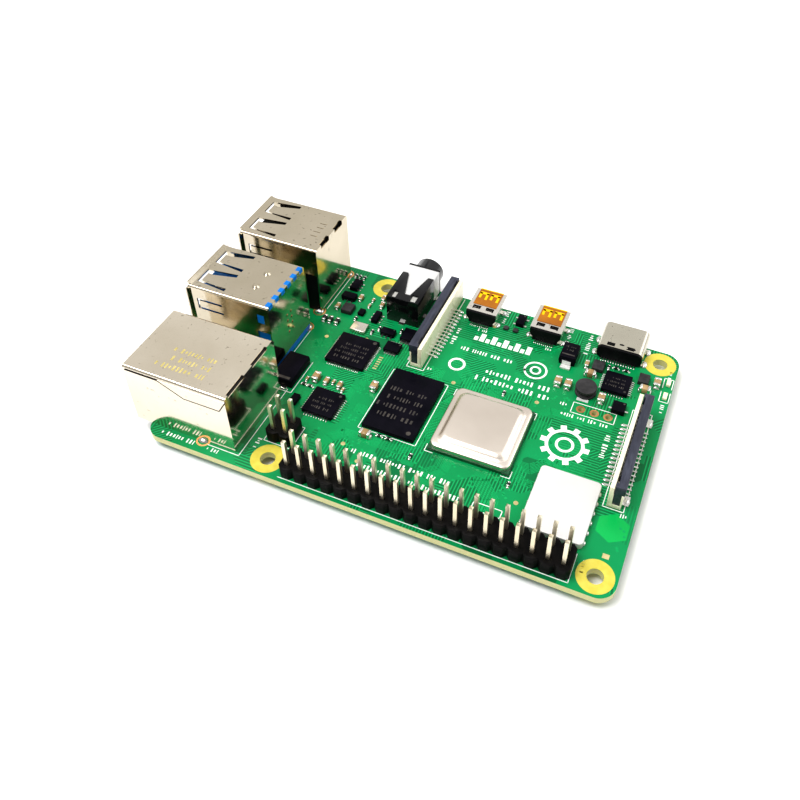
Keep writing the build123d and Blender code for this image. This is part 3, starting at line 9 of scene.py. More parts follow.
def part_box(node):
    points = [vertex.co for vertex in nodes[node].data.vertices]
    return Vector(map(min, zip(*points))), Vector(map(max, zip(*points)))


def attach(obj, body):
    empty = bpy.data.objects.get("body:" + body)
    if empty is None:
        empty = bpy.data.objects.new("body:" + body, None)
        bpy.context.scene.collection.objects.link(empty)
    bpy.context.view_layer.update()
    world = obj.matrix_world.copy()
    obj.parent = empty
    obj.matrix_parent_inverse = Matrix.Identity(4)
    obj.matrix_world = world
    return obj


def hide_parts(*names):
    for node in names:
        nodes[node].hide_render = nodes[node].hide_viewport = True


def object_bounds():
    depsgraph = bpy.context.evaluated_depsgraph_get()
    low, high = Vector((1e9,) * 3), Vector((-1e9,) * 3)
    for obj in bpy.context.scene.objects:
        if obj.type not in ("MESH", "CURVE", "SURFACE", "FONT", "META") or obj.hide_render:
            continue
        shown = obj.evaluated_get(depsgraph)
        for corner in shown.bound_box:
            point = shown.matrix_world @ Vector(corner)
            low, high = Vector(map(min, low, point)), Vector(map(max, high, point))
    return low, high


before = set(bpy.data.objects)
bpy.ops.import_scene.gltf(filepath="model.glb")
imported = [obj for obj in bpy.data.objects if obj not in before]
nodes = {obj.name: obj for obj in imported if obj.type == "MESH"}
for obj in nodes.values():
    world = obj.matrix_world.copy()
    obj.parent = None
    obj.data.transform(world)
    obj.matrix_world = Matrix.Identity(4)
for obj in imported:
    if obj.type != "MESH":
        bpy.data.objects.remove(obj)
cad_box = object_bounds()

# ---------------------------------------------------------------- circuit board: the laminate
# A glass-fibre laminate plate with copper foil on both faces under glossy green lacquer.  The
# foil's flooded areas and fine conductors show through the lacquer as lighter green relief,
# and the routed edge shows the bare cream laminate.
MM = 0.001
board_low, board_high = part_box("circuit_board")
BOARD_TOP = board_high.z
BOARD_BOTTOM = board_low.z


def spot(bx, by, height=0.0):
    """Place over the board: millimetres from its corner, and above its top face."""
    return Vector((board_low.x + bx * MM, board_low.y + by * MM, BOARD_TOP + height * MM))


def socket(group, name, kind, going, default=None):
    """Adds one named socket to a node group's interface."""
    made = group.interface.new_socket(name=name, in_out=going, socket_type=kind)
    if default is not None:
        made.default_value = default


def new_effect(name, inputs, outputs):
    """Empty shader node group with its named inputs and outputs."""
    group = bpy.data.node_groups.new(name, "ShaderNodeTree")
    for label, kind, default in inputs:
        socket(group, label, kind, "INPUT", default)
    for label, kind in outputs:
        socket(group, label, kind, "OUTPUT")
    start = group.nodes.new("NodeGroupInput")
    end = group.nodes.new("NodeGroupOutput")
    return group, start, end


def mottle_effect():
    """Slow uneven tone: a mask from 0 to 1, from soft noise at the scale asked for."""
    group, start, end = new_effect(
        "mottle",
        [("Scale", "NodeSocketFloat", 200.0), ("Stretch", "NodeSocketVector", (1, 1, 1))],
        [("Mask", "NodeSocketFloat")],
    )
    place = group.nodes.new("ShaderNodeTexCoord")
    stretch = group.nodes.new("ShaderNodeVectorMath")
    stretch.operation = "MULTIPLY"
    noise = group.nodes.new("ShaderNodeTexNoise")
    noise.inputs["Detail"].default_value = 4
    ramp = group.nodes.new("ShaderNodeMapRange")
    ramp.inputs["From Min"].default_value = 0.3
    ramp.inputs["From Max"].default_value = 0.7
    link = group.links.new
    link(place.outputs["Object"], stretch.inputs[0])
    link(start.outputs["Stretch"], stretch.inputs[1])
    link(stretch.outputs["Vector"], noise.inputs["Vector"])
    link(start.outputs["Scale"], noise.inputs["Scale"])
    link(noise.outputs["Fac"], ramp.inputs["Value"])
    link(ramp.outputs["Result"], end.inputs["Mask"])
    return group


def grain_effect():
    """Fine surface grain: a height from two sizes of noise, to feed a bump."""
    group, start, end = new_effect(
        "grain",
        [("Scale", "NodeSocketFloat", 3000.0), ("Stretch", "NodeSocketVector", (1, 1, 1))],
        [("Height", "NodeSocketFloat")],
    )
    place = group.nodes.new("ShaderNodeTexCoord")
    stretch = group.nodes.new("ShaderNodeVectorMath")
    stretch.operation = "MULTIPLY"
    fine = group.nodes.new("ShaderNodeTexNoise")
    fine.inputs["Detail"].default_value = 3
    coarse = group.nodes.new("ShaderNodeTexVoronoi")
    total = group.nodes.new("ShaderNodeMath")
    total.operation = "ADD"
    link = group.links.new
    link(place.outputs["Object"], stretch.inputs[0])
    link(start.outputs["Stretch"], stretch.inputs[1])
    for texture in (fine, coarse):
        link(stretch.outputs["Vector"], texture.inputs["Vector"])
        link(start.outputs["Scale"], texture.inputs["Scale"])
    link(fine.outputs["Fac"], total.inputs[0])
    link(coarse.outputs["Distance"], total.inputs[1])
    link(total.outputs["Value"], end.inputs["Height"])
    return group


MOTTLE = mottle_effect()
GRAIN = grain_effect()


def new_finish(name, roughness, metallic=0.0):
    """Material with a bare Principled shader; gives the material, its nodes, links and shader."""
    finish = bpy.data.materials.new(name)
    finish.use_nodes = True
    tree = finish.node_tree
    shader = tree.nodes["Principled BSDF"]
    shader.inputs["Roughness"].default_value = roughness
    shader.inputs["Metallic"].default_value = metallic
    return finish, tree.nodes, tree.links.new, shader


def effect(tree_nodes, group, **values):
    """Places a shared effect in a material with its own values."""
    node = tree_nodes.new("ShaderNodeGroup")
    node.node_tree = group
    for name, value in values.items():
        node.inputs[name].default_value = value
    return node


def two_tone(tree_nodes, link, mask, dark, light):
    """Colour that runs from dark to light with a mask."""
    mix = tree_nodes.new("ShaderNodeMix")
    mix.data_type = "RGBA"
    mix.inputs["A"].default_value = (*dark, 1)
    mix.inputs["B"].default_value = (*light, 1)
    link(mask, mix.inputs["Factor"])
    return mix.outputs["Result"]


def relief(tree_nodes, link, height, shader, distance, strength=1.0):
    """Bump from a height, in metres of real depth, into the shader's normal."""
    bump = tree_nodes.new("ShaderNodeBump")
    bump.inputs["Strength"].default_value = strength
    bump.inputs["Distance"].default_value = distance
    link(height, bump.inputs["Height"])
    link(bump.outputs["Normal"], shader.inputs["Normal"])


def varied_finish(name, dark, light, low_rough, high_rough, metallic=0.0, mottle=150.0,
                  grain=2500.0, depth=2e-6, stretch=(1, 1, 1), coat=0.0, specular=0.5):
    """Finish with uneven tone and gloss and a fine grain, at sizes given per metre."""
    finish, tree_nodes, link, shader = new_finish(name, low_rough, metallic)
    tone = effect(tree_nodes, MOTTLE, Scale=mottle, Stretch=stretch)
    link(two_tone(tree_nodes, link, tone.outputs["Mask"], dark, light), shader.inputs["Base Color"])
    gloss = tree_nodes.new("ShaderNodeMapRange")
    gloss.inputs["To Min"].default_value = low_rough
    gloss.inputs["To Max"].default_value = high_rough
    link(tone.outputs["Mask"], gloss.inputs["Value"])
    link(gloss.outputs["Result"], shader.inputs["Roughness"])
    texture = effect(tree_nodes, GRAIN, Scale=grain, Stretch=stretch)
    relief(tree_nodes, link, texture.outputs["Height"], shader, depth)
    shader.inputs["Specular IOR Level"].default_value = specular
    shader.inputs["Coat Weight"].default_value = coat
    shader.inputs["Coat Roughness"].default_value = 0.12
    return finish


def dress(node, *finishes):
    """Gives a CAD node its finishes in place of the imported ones."""
    slots = nodes[node].data.materials
    slots.clear()
    for finish in finishes:
        slots.append(finish)


def mask(tree_nodes, link, value, low, high):
    """Soft threshold: 0 below low, 1 above high."""
    step = tree_nodes.new("ShaderNodeMapRange")
    step.inputs["From Min"].default_value = low
    step.inputs["From Max"].default_value = high
    link(value, step.inputs["Value"])
    return step.outputs["Result"]


def combine(tree_nodes, link, operation, first, second):
    """Maths on two masks, or on a mask and a number."""
    node = tree_nodes.new("ShaderNodeMath")
    node.operation = operation
    node.use_clamp = True
    link(first, node.inputs[0])
    if isinstance(second, (int, float)):
        node.inputs[1].default_value = second
    else:
        link(second, node.inputs[1])
    return node.outputs["Value"]


LACQUER_BARE = (0.001, 0.15, 0.046)
LACQUER_COPPER = (0.002, 0.26, 0.08)
LACQUER_TRACE = (0.006, 0.37, 0.115)
LAMINATE = (0.62, 0.60, 0.30)


def lacquer_finish():
    """Green lacquer: flooded copper areas, fine conductors at three angles, and through-holes."""
    finish, tree_nodes, link, shader = new_finish("green_lacquer", 0.3)
    place = tree_nodes.new("ShaderNodeTexCoord")
    flood = tree_nodes.new("ShaderNodeTexVoronoi")
    flood.distance = "CHEBYCHEV"
    flood.inputs["Scale"].default_value = 170
    link(place.outputs["Object"], flood.inputs["Vector"])
    cell = tree_nodes.new("ShaderNodeSeparateColor")
    link(flood.outputs["Color"], cell.inputs["Color"])
    flooded = mask(tree_nodes, link, cell.outputs["Red"], 0.40, 0.42)
    base = two_tone(tree_nodes, link, flooded, LACQUER_BARE, LACQUER_COPPER)
    lines = None
    for angle, low, high in ((0, 0.0, 0.3), (45, 0.36, 0.6), (90, 0.7, 1.0)):
        turn = tree_nodes.new("ShaderNodeMapping")
        turn.inputs["Rotation"].default_value = (0, 0, radians(angle))
        link(place.outputs["Object"], turn.inputs["Vector"])
        wave = tree_nodes.new("ShaderNodeTexWave")
        wave.bands_direction = "X"
        wave.inputs["Scale"].default_value = 560
        link(turn.outputs["Vector"], wave.inputs["Vector"])
        band = mask(tree_nodes, link, wave.outputs["Fac"], 0.62, 0.8)
        above = mask(tree_nodes, link, cell.outputs["Green"], low, low + 0.02)
        below = mask(tree_nodes, link, cell.outputs["Green"], high, high - 0.02)
        band = combine(tree_nodes, link, "MULTIPLY", band, above)
        band = combine(tree_nodes, link, "MULTIPLY", band, below)
        lines = band if lines is None else combine(tree_nodes, link, "ADD", lines, band)
    lines = combine(tree_nodes, link, "SUBTRACT", lines, flooded)
    colour = tree_nodes.new("ShaderNodeMix")
    colour.data_type = "RGBA"
    colour.inputs["B"].default_value = (*LACQUER_TRACE, 1)
    link(lines, colour.inputs["Factor"])
    link(base, colour.inputs["A"])
    tone = effect(tree_nodes, MOTTLE, Scale=60.0)
    shade = tree_nodes.new("ShaderNodeMix")
    shade.data_type = "RGBA"
    shade.blend_type = "MULTIPLY"
    shade.inputs["Factor"].default_value = 1
    link(colour.outputs["Result"], shade.inputs["A"])
    link(two_tone(tree_nodes, link, tone.outputs["Mask"], (0.85, 0.9, 0.85), (1.15, 1.1, 1.15)), shade.inputs["B"])
    # The routed edge is bare laminate, between the two lacquered faces.
    height = tree_nodes.new("ShaderNodeSeparateXYZ")
    link(place.outputs["Object"], height.inputs["Vector"])
    below_top = mask(tree_nodes, link, height.outputs["Z"], BOARD_TOP - 0.02 * MM, BOARD_TOP - 0.05 * MM)
    above_bottom = mask(tree_nodes, link, height.outputs["Z"], BOARD_BOTTOM + 0.02 * MM, BOARD_BOTTOM + 0.05 * MM)
    edge = combine(tree_nodes, link, "MULTIPLY", below_top, above_bottom)
    whole = tree_nodes.new("ShaderNodeMix")
    whole.data_type = "RGBA"
    whole.inputs["B"].default_value = (*LAMINATE, 1)
    link(edge, whole.inputs["Factor"])
    link(shade.outputs["Result"], whole.inputs["A"])
    link(whole.outputs["Result"], shader.inputs["Base Color"])
    raised = combine(tree_nodes, link, "ADD", flooded, lines)
    relief(tree_nodes, link, raised, shader, 3e-5, 0.6)
    shader.inputs["Specular IOR Level"].default_value = 0.2
    shader.inputs["Coat Weight"].default_value = 0.06
    shader.inputs["Coat Roughness"].default_value = 0.12
    return finish


dress("circuit_board", lacquer_finish())

# ---------------------------------------------------------------- circuit board: bare pads
# Rings of bare pale laminate round the four screw holes, and tinned or coppery rings round
# the holes that take pins and legs.  They are openings etched in the lacquer.
MOUNT_PLACES = [(3.5, 3.5), (61.5, 3.5), (3.5, 52.5), (61.5, 52.5)]
PRINT_HEIGHT = 0.02


def turned_ring(shape, centre, inner, outer, low, high):
    """Flat ring in millimetres, spun from a small square profile about an upright axis."""
    corners = [(inner, low), (outer, low), (outer, high), (inner, high)]
    profile = [shape.verts.new(spot(centre[0] + r, centre[1], h)) for r, h in corners]
    face = shape.faces.new(profile)
    bmesh.ops.spin(
        shape, geom=[face, *face.edges, *profile], cent=spot(*centre), axis=(0, 0, 1),
        angle=2 * pi, steps=32, use_merge=True, use_duplicate=False,
    )


def place_piece(shape, name, finish, body="board", smooth=35):
    """Turns a bmesh into a finished piece that rides on a body."""
    bmesh.ops.remove_doubles(shape, verts=shape.verts, dist=1e-7)
    bmesh.ops.recalc_face_normals(shape, faces=shape.faces)
    mesh = bpy.data.meshes.new(name)
    shape.to_mesh(mesh)
    shape.free()
    mesh.materials.append(finish)
    piece = bpy.data.objects.new(name, mesh)
    bpy.context.scene.collection.objects.link(piece)
    mesh.shade_smooth()
    mesh.set_sharp_from_angle(angle=radians(smooth))
    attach(piece, body)
    return piece


bare_laminate = varied_finish("bare_laminate", (0.58, 0.49, 0.05), (0.68, 0.59, 0.09), 0.4, 0.5, mottle=700.0)
copper_ring = varied_finish("tinned_copper", (0.55, 0.26, 0.12), (0.75, 0.42, 0.2), 0.3, 0.45, metallic=1.0)
solder = varied_finish("solder", (0.62, 0.62, 0.6), (0.82, 0.81, 0.78), 0.18, 0.35, metallic=1.0, mottle=900.0)

shape = bmesh.new()
for centre in MOUNT_PLACES:
    for low, high in ((0, PRINT_HEIGHT), (-1.4 - PRINT_HEIGHT, -1.4)):
        turned_ring(shape, centre, 1.36, 3.05, low, high)
place_piece(shape, "mounting_pads", bare_laminate)

# ---------------------------------------------------------------- circuit board: conductors
# Bundles of copper conductors under the lacquer, fanned out from the chips at right angles
# and 45 degrees, with plated through-holes scattered where they change layer.
CONDUCTOR_HEIGHT = 0.012
CONDUCTOR_WIDTH = 0.12
CONDUCTOR_PITCH = 0.27
VIA_RADIUS = 0.24


def bar(shape, start, end, width, low, high):
    """Closed box in millimetres along a straight run over the board."""
    a, b = spot(*start), spot(*end)
    run = b - a
    turn = Matrix.Rotation(math_angle(run), 4, "Z")
    size = Matrix.Diagonal((run.length, width * MM, (high - low) * MM, 1))
    middle = (a + b) / 2 + Vector((0, 0, (low + high) / 2 * MM))
    bmesh.ops.create_cube(shape, size=1, matrix=Matrix.Translation(middle) @ turn @ size)


def math_angle(run):
    """Heading of a level vector, in radians from +X."""
    return Vector((1, 0)).angle_signed(Vector((run.x, run.y)), 0) * -1


def peg(shape, centre, radius, low, high, sides=12, top_radius=None):
    """Closed upright cylinder or cone in millimetres."""
    place = Matrix.Translation(spot(centre[0], centre[1], (low + high) / 2))
    bmesh.ops.create_cone(
        shape, cap_ends=True, segments=sides, radius1=radius * MM,
        radius2=(radius if top_radius is None else top_radius) * MM, depth=(high - low) * MM, matrix=place,
    )


def conductor(shape, route, low=0.0, high=CONDUCTOR_HEIGHT):
    """One conductor along a route, with a round land at each end and bend."""
    for start, end in zip(route, route[1:]):
        bar(shape, start, end, CONDUCTOR_WIDTH, low, high)
    for place in route:
        peg(shape, place, CONDUCTOR_WIDTH / 2, low, high, sides=8)


def bundle(shape, route, count, pitch=CONDUCTOR_PITCH):
    """Parallel conductors, each offset sideways from a middle route and mitred at its bends."""
    points = [Vector(place) for place in route]
    for index in range(count):
        offset = (index - (count - 1) / 2) * pitch
        shifted = []
        for i, point in enumerate(points):
            before = (point - points[max(i - 1, 0)]).normalized() if i else None
            after = (points[i + 1] - point).normalized() if i + 1 < len(points) else None
            first = Vector((-(before or after).y, (before or after).x))
            second = Vector((-(after or before).y, (after or before).x))
            mitre = (first + second).normalized()
            shifted.append(tuple(point + mitre * (offset / max(mitre.dot(first), 0.3))))
        conductor(shape, shifted)


lacquered_copper = varied_finish(
    "lacquered_copper", (0.003, 0.30, 0.09), (0.008, 0.39, 0.12), 0.22, 0.3, mottle=120.0, coat=0.06, specular=0.2)
shape = bmesh.new()
for route, count in (
    (((37.0, 32.5), (39.6, 32.5)), 44),
    (((31.0, 24.8), (31.0, 22.5), (27.0, 18.5), (27.0, 16.0)), 12),
    (((35.0, 24.8), (35.0, 22.6), (40.2, 17.4), (40.2, 12.0)), 10),
    (((37.0, 27.5), (38.2, 27.5), (42.0, 23.7), (42.0, 21.0)), 8),
    (((21.8, 27.5), (19.8, 27.5), (17.8, 29.5), (10.5, 29.5)), 12),
    (((21.8, 37.0), (19.0, 37.0), (16.0, 34.0), (10.0, 34.0)), 8),
    (((63.9, 23.0), (66.5, 23.0), (68.5, 25.0), (70.6, 25.0)), 8),
    (((61.7, 37.2), (63.4, 37.2), (66.4, 40.2), (67.2, 40.2)), 8),
    (((55.4, 23.0), (51.0, 23.0), (49.8, 21.8), (49.8, 19.0)), 8),
    (((53.0, 36.0), (50.2, 36.0), (48.4, 34.2)), 8),
    (((26.0, 40.2), (26.0, 42.5), (23.0, 45.5), (23.0, 49.5)), 10),
    (((33.0, 40.2), (33.0, 43.0), (35.5, 45.5), (35.5, 49.5)), 10),
    (((37.0, 38.5), (37.9, 38.5), (41.5, 42.1), (52.0, 42.1), (54.0, 44.1), (54.0, 49.5)), 7),
    (((17.4, 40.0), (19.5, 40.0), (20.6, 38.9), (21.8, 38.9)), 6),
    (((12.0, 7.0), (12.0, 9.2)), 5),
    (((54.2, 27.2), (54.2, 31.0), (55.2, 32.0), (55.2, 35.0)), 5),
    (((43.6, 4.0), (41.8, 4.0), (41.0, 4.8), (41.0, 7.0)), 4),
    (((8.0, 23.0), (19.5, 23.0), (21.5, 25.0)), 6),
):
    bundle(shape, route, count)
place_piece(shape, "conductors", lacquered_copper)

VIA_PATCHES = (
    # centre, half length, half width, how many
    ((29.4, 22.4), 7.5, 1.8, 34), ((29.4, 42.6), 9.0, 2.2, 36), ((44.5, 22.2), 3.0, 1.5, 12),
    ((45.5, 43.5), 6.0, 1.6, 22), ((54.0, 29.0), 2.2, 4.0, 18), ((66.0, 24.0), 2.8, 4.0, 14),
    ((64.5, 30.0), 1.0, 2.4, 6), ((16.5, 37.0), 2.2, 3.5, 14), ((19.5, 20.0), 2.4, 2.5, 12),
    ((34.0, 10.0), 8.0, 2.0, 20), ((57.5, 46.0), 1.8, 3.0, 8), ((24.0, 10.0), 1.5, 4.0, 10),
    ((53.5, 39.5), 2.0, 2.5, 12), ((13.0, 32.0), 4.5, 2.8, 14), ((42.0, 48.5), 20.0, 0.9, 26),
    ((61.0, 4.0), 3.0, 2.5, 10), ((2.0, 44.0), 1.0, 3.5, 6), ((65.0, 19.5), 2.0, 1.6, 8),
)
rng = random.Random(7)
shape = bmesh.new()
for (cx, cy), reach_x, reach_y, count in VIA_PATCHES:
    for _ in range(count):
        place = (cx + rng.uniform(-reach_x, reach_x), cy + rng.uniform(-reach_y, reach_y))
        peg(shape, place, VIA_RADIUS, 0, CONDUCTOR_HEIGHT, sides=10)
        peg(shape, place, VIA_RADIUS * 0.5, CONDUCTOR_HEIGHT, 1.5 * CONDUCTOR_HEIGHT, sides=8)
place_piece(shape, "through_holes", lacquered_copper)

# A patch without copper under the wireless aerial, where the lacquer is brighter.
aerial_lacquer = varied_finish(
    "aerial_lacquer", (0.003, 0.36, 0.075), (0.007, 0.44, 0.10), 0.2, 0.3, mottle=80.0, coat=0.06, specular=0.2)
shape = bmesh.new()
peg(shape, (3.1, 43.0), 2.9, 0, 0.008, sides=6)
place_piece(shape, "aerial_window", aerial_lacquer)

# ---------------------------------------------------------------- circuit board: white print
# Screen-printed white ink: outlines round the parts, corner marks, and short plain bars that
# stand for the labels.  The large marks are a plain cog and rings.
INK_WIDTH = 0.16
INK_HEIGHT = 0.02
ink = varied_finish("white_ink", (0.78, 0.78, 0.76), (0.88, 0.88, 0.86), 0.5, 0.65, mottle=500.0)


def outline(shape, low, high, width=INK_WIDTH, gaps=()):
    """Printed rectangle between two corners, leaving out the sides named in gaps."""
    (x0, y0), (x1, y1) = low, high
    sides = {
        "low": ((x0, y0), (x1, y0)), "high": ((x0, y1), (x1, y1)),
        "left": ((x0, y0), (x0, y1)), "right": ((x1, y0), (x1, y1)),
    }
    for name, (start, end) in sides.items():
        if name not in gaps:
            bar(shape, start, end, width, 0, INK_HEIGHT)
    for place in ((x0, y0), (x1, y0), (x0, y1), (x1, y1)):
        peg(shape, place, width / 2, 0, INK_HEIGHT, sides=8)


def label_bars(shape, start, end, height, low=0.0, high=INK_HEIGHT):
    """A row of short bars of uneven widths, in place of a label's characters."""
    a, b = Vector(start), Vector(end)
    along = (b - a).normalized()
    done = 0.0
    word = 4
    while done < (b - a).length:
        word -= 1
        if word == 0:
            word = rng.randint(3, 8)
            done += height * 0.6
        width = height * rng.choice((0.35, 0.5, 0.6))
        middle = a + along * (done + width / 2)
        tall = height * rng.choice((0.5, 0.72, 1.0, 1.0))
        side = Vector((-along.y, along.x)) * tall / 2
        bar(shape, tuple(middle - side), tuple(middle + side), width * 0.62, low, high)
        done += width + height * 0.16


shape = bmesh.new()
outline(shape, (8.2, 19.2), (16.2, 21.8))
outline(shape, (7.1, 49.8), (58.0, 55.2), gaps=("low", "right"))
outline(shape, (58.9, 44.0), (64.3, 49.2))
outline(shape, (66.5, 37.0), (87.0, 53.95), gaps=("low", "right", "high"))
bar(shape, (66.5, 53.95), (73.0, 53.95), INK_WIDTH, 0, INK_HEIGHT)
outline(shape, (39.1, 24.5), (50.3, 40.1))
for corner_x, inward_x in ((21.6, 1), (37.3, -1)):
    for corner_y, inward_y in ((24.7, 1), (40.3, -1)):
        bar(shape, (corner_x, corner_y), (corner_x + 1.6 * inward_x, corner_y), INK_WIDTH, 0, INK_HEIGHT)
        bar(shape, (corner_x, corner_y), (corner_x, corner_y + 1.6 * inward_y), INK_WIDTH, 0, INK_HEIGHT)
outline(shape, (45.0, 0.4), (48.5, 22.8), gaps=("low",))
outline(shape, (2.2, 16.9), (5.7, 39.5))
bar(shape, (70.3, 3.0), (70.3, 14.2), INK_WIDTH, 0, INK_HEIGHT)
bar(shape, (70.3, 21.0), (70.3, 33.0), INK_WIDTH, 0, INK_HEIGHT)
outline(shape, (65.5, 29.0), (70.3, 37.6), gaps=("right", "low"))
outline(shape, (1.9, 6.7), (0.2, 9.3), gaps=("high",))
outline(shape, (1.9, 10.3), (0.2, 12.9), gaps=("low",))
for start, end, height in (
    ((20.7, 20.3), (35.5, 20.3), 1.2), ((21.2, 18.2), (33.8, 18.2), 1.2),
    ((30.0, 14.0), (40.5, 14.0), 0.95), ((28.0, 47.6), (46.0, 47.6), 1.0),
    ((30.5, 45.2), (49.0, 45.2), 1.0), ((42.8, 9.0), (42.8, 13.8), 0.95), ((8.4, 24.5), (8.4, 30.0), 0.95),
    ((17.6, 0.6), (17.6, 6.2), 0.85), ((21.8, 0.4), (21.8, 4.0), 0.85), ((35.3, 0.4), (35.3, 4.0), 0.85),
    ((75.2, 54.6), (81.5, 54.6), 0.9), ((9.0, 22.7), (17.5, 22.7), 0.85), ((1.0, 13.6), (1.0, 15.6), 0.7),
    ((1.1, 4.6), (1.1, 6.2), 0.7), ((17.2, 20.4), (18.6, 20.4), 0.8), ((43.6, 21.8), (44.6, 21.8), 0.7),
    ((1.5, 40.2), (2.7, 40.2), 0.8), ((5.7, 50.4), (5.7, 52.0), 0.8), ((70.2, 54.7), (72.4, 54.7), 0.8),
    ((65.0, 49.0), (65.0, 51.2), 0.8), ((24.0, 7.9), (25.2, 7.9), 0.7), ((37.4, 7.9), (38.8, 7.9), 0.7),
):
    label_bars(shape, start, end, height)
outline(shape, (20.5, 46.9), (25.5, 48.4))
for centre, inner, outer in (((25.2, 14.3), 1.9, 2.3), ((25.2, 14.3), 0.7, 1.1), ((39.7, 18.6), 1.2, 1.7)):
    turned_ring(shape, centre, inner, outer, 0, INK_HEIGHT)
for step in range(5):
    start = 28.0 + 2.4 * step
    bar(shape, (start, 8.7), (start, 10.9), 1.0, 0, INK_HEIGHT)
    bar(shape, (start + 1.2, 9.8), (start + 1.2, 10.9), 0.8, 0, INK_HEIGHT)
COG_CENTRE = (15.0, 29.6)
turned_ring(shape, COG_CENTRE, 2.9, 3.5, 0, INK_HEIGHT)
turned_ring(shape, COG_CENTRE, 1.2, 1.7, 0, INK_HEIGHT)
for tooth in range(10):
    direction = Vector((cos(tooth * pi / 5), sin(tooth * pi / 5)))
    near, far = Vector(COG_CENTRE) + direction * 3.4, Vector(COG_CENTRE) + direction * 4.4
    bar(shape, tuple(near), tuple(far), 1.1, 0, INK_HEIGHT)
for column in range(20):
    place = (8.37 + 2.54 * column, 49.85)
    bar(shape, (place[0] - 0.25, place[1]), (place[0] + 0.25, place[1]), INK_WIDTH, 0, INK_HEIGHT)
place_piece(shape, "white_print", ink)

# ---------------------------------------------------------------- circuit board: lands
# Tinned lands and rings etched clear of lacquer: spare jumper holes, test lands, and the rings
# round the port legs on both faces.
USB_LEG_SPOTS = [
    (bx, centre + side * 6.45) for centre in (27.0, 9.0) for side in (-1, 1) for bx in (71.4, 79.2)
]
ETHERNET_LEG_SPOTS = [(74.0, 45.75 + side * 7.65) for side in (-1, 1)]
UNDER = -1.4
shape = bmesh.new()
for bx in (9.51, 12.05, 14.59):
    turned_ring(shape, (bx, 20.5), 0.5, 0.85, 0, INK_HEIGHT)
    turned_ring(shape, (bx, 20.5), 0.5, 0.85, UNDER - INK_HEIGHT, UNDER)
for place in USB_LEG_SPOTS + ETHERNET_LEG_SPOTS:
    for low in (0, UNDER - INK_HEIGHT):
        peg_ring_outer = 1.35
        turned_ring(shape, place, 1.02, peg_ring_outer, low, low + INK_HEIGHT)
place_piece(shape, "copper_rings", copper_ring)

pad_gold = varied_finish("gilt_land", (0.75, 0.62, 0.30), (0.88, 0.76, 0.42), 0.25, 0.4, metallic=1.0, mottle=800.0)
shape = bmesh.new()
for step in range(6):
    bar(shape, (53.5, 22.7 + 0.62 * step), (54.3, 22.7 + 0.62 * step), 0.3, 0, INK_HEIGHT)
bar(shape, (2.3, 48.5), (3.4, 48.5), 0.9, 0, 0.05)
for place in ((51.0, 44.5), (66.5, 21.5), (22.5, 22.0), (47.0, 47.0), (38.5, 23.4), (5.5, 33.0), (58.8, 19.2),
              (36.5, 5.8), (43.2, 25.8), (19.0, 44.5)):
    peg(shape, place, 0.42, 0, INK_HEIGHT, sides=16)
for row in range(3):
    for column in range(5):
        peg(shape, (52.0 + 2.4 * column, 16.0 + 9.0 * row), 0.6, UNDER - INK_HEIGHT, UNDER, sides=16)
place_piece(shape, "test_lands", pad_gold)

# ---------------------------------------------------------------- pin headers
# Two-row strips of square pins pressed through blocks of black moulded plastic, one waisted
# cell per pair of pins.  The pins are brass with a pale gold plating, cut to a point.
def softened(node, name, finish, width, segments=2, body="board"):
    """Stands for a CAD piece: a merged copy of it, with its sharp edges rounded off."""
    shape = bmesh.new()
    shape.from_mesh(nodes[node].data)
    bmesh.ops.remove_doubles(shape, verts=shape.verts, dist=1e-6)
    bmesh.ops.dissolve_limit(shape, angle_limit=radians(1), verts=shape.verts, edges=shape.edges)
    sharp = [edge for edge in shape.edges if edge.is_manifold and edge.calc_face_angle() > radians(30)]
    bmesh.ops.bevel(
        shape, geom=sharp, offset=width * MM, segments=segments, affect="EDGES",
        profile=0.5, clamp_overlap=True, material=-1,
    )
    piece = place_piece(shape, name, finish, body, smooth=50)
    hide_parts(node)
    return piece


header_plastic = varied_finish(
    "header_plastic", (0.003, 0.003, 0.003), (0.007, 0.006, 0.006), 0.32, 0.45, mottle=400.0, depth=4e-6,
    specular=0.07)
pin_gold = varied_finish(
    "pin_gold", (0.82, 0.72, 0.52), (0.94, 0.87, 0.70), 0.28, 0.4, metallic=1.0, mottle=600.0, stretch=(1, 1, 0.15))
for header in ("gpio_header", "power_over_ethernet"):
    softened(f"{header}_block", f"{header}_moulding", header_plastic, 0.12)
    dress(f"{header}_pins", pin_gold)

# ---------------------------------------------------------------- solder under the board
# Shiny cones of solder where each pin and leg comes out of the board's underside, and low
# mounds round the shell legs on the upper face.
HEADER_ROWS = (((32.5, 52.5), 20), ((61.5, 46.6), 2))
ETHERNET_TAILS = [
    (bx, 45.75 + (i - 2.5) * 2.04 + shift) for bx, shift in ((70.6, -0.51), (72.6, 0.51)) for i in range(6)
]
USB_TAILS = [
    (bx, centre + (i - (count - 1) / 2) * pitch)
    for centre, rows in (
        (27.0, ((73.4, 4, 2.33), (74.9, 5, 2.0), (76.4, 4, 2.33), (77.9, 5, 2.0))),
        (9.0, ((74.5, 4, 2.33), (77.1, 4, 2.33))),
    )
    for bx, count, pitch in rows
    for i in range(count)
]


def solder_mound(shape, centre, half_length, half_width, height, base=0.0):
    """Low round blob of solder, half sunk in what it stands on."""
    size = Matrix.Diagonal((half_length * MM, half_width * MM, height * MM, 1))
    bmesh.ops.create_uvsphere(
        shape, u_segments=16, v_segments=8, radius=1,
        matrix=Matrix.Translation(spot(centre[0], centre[1], base)) @ size,
    )


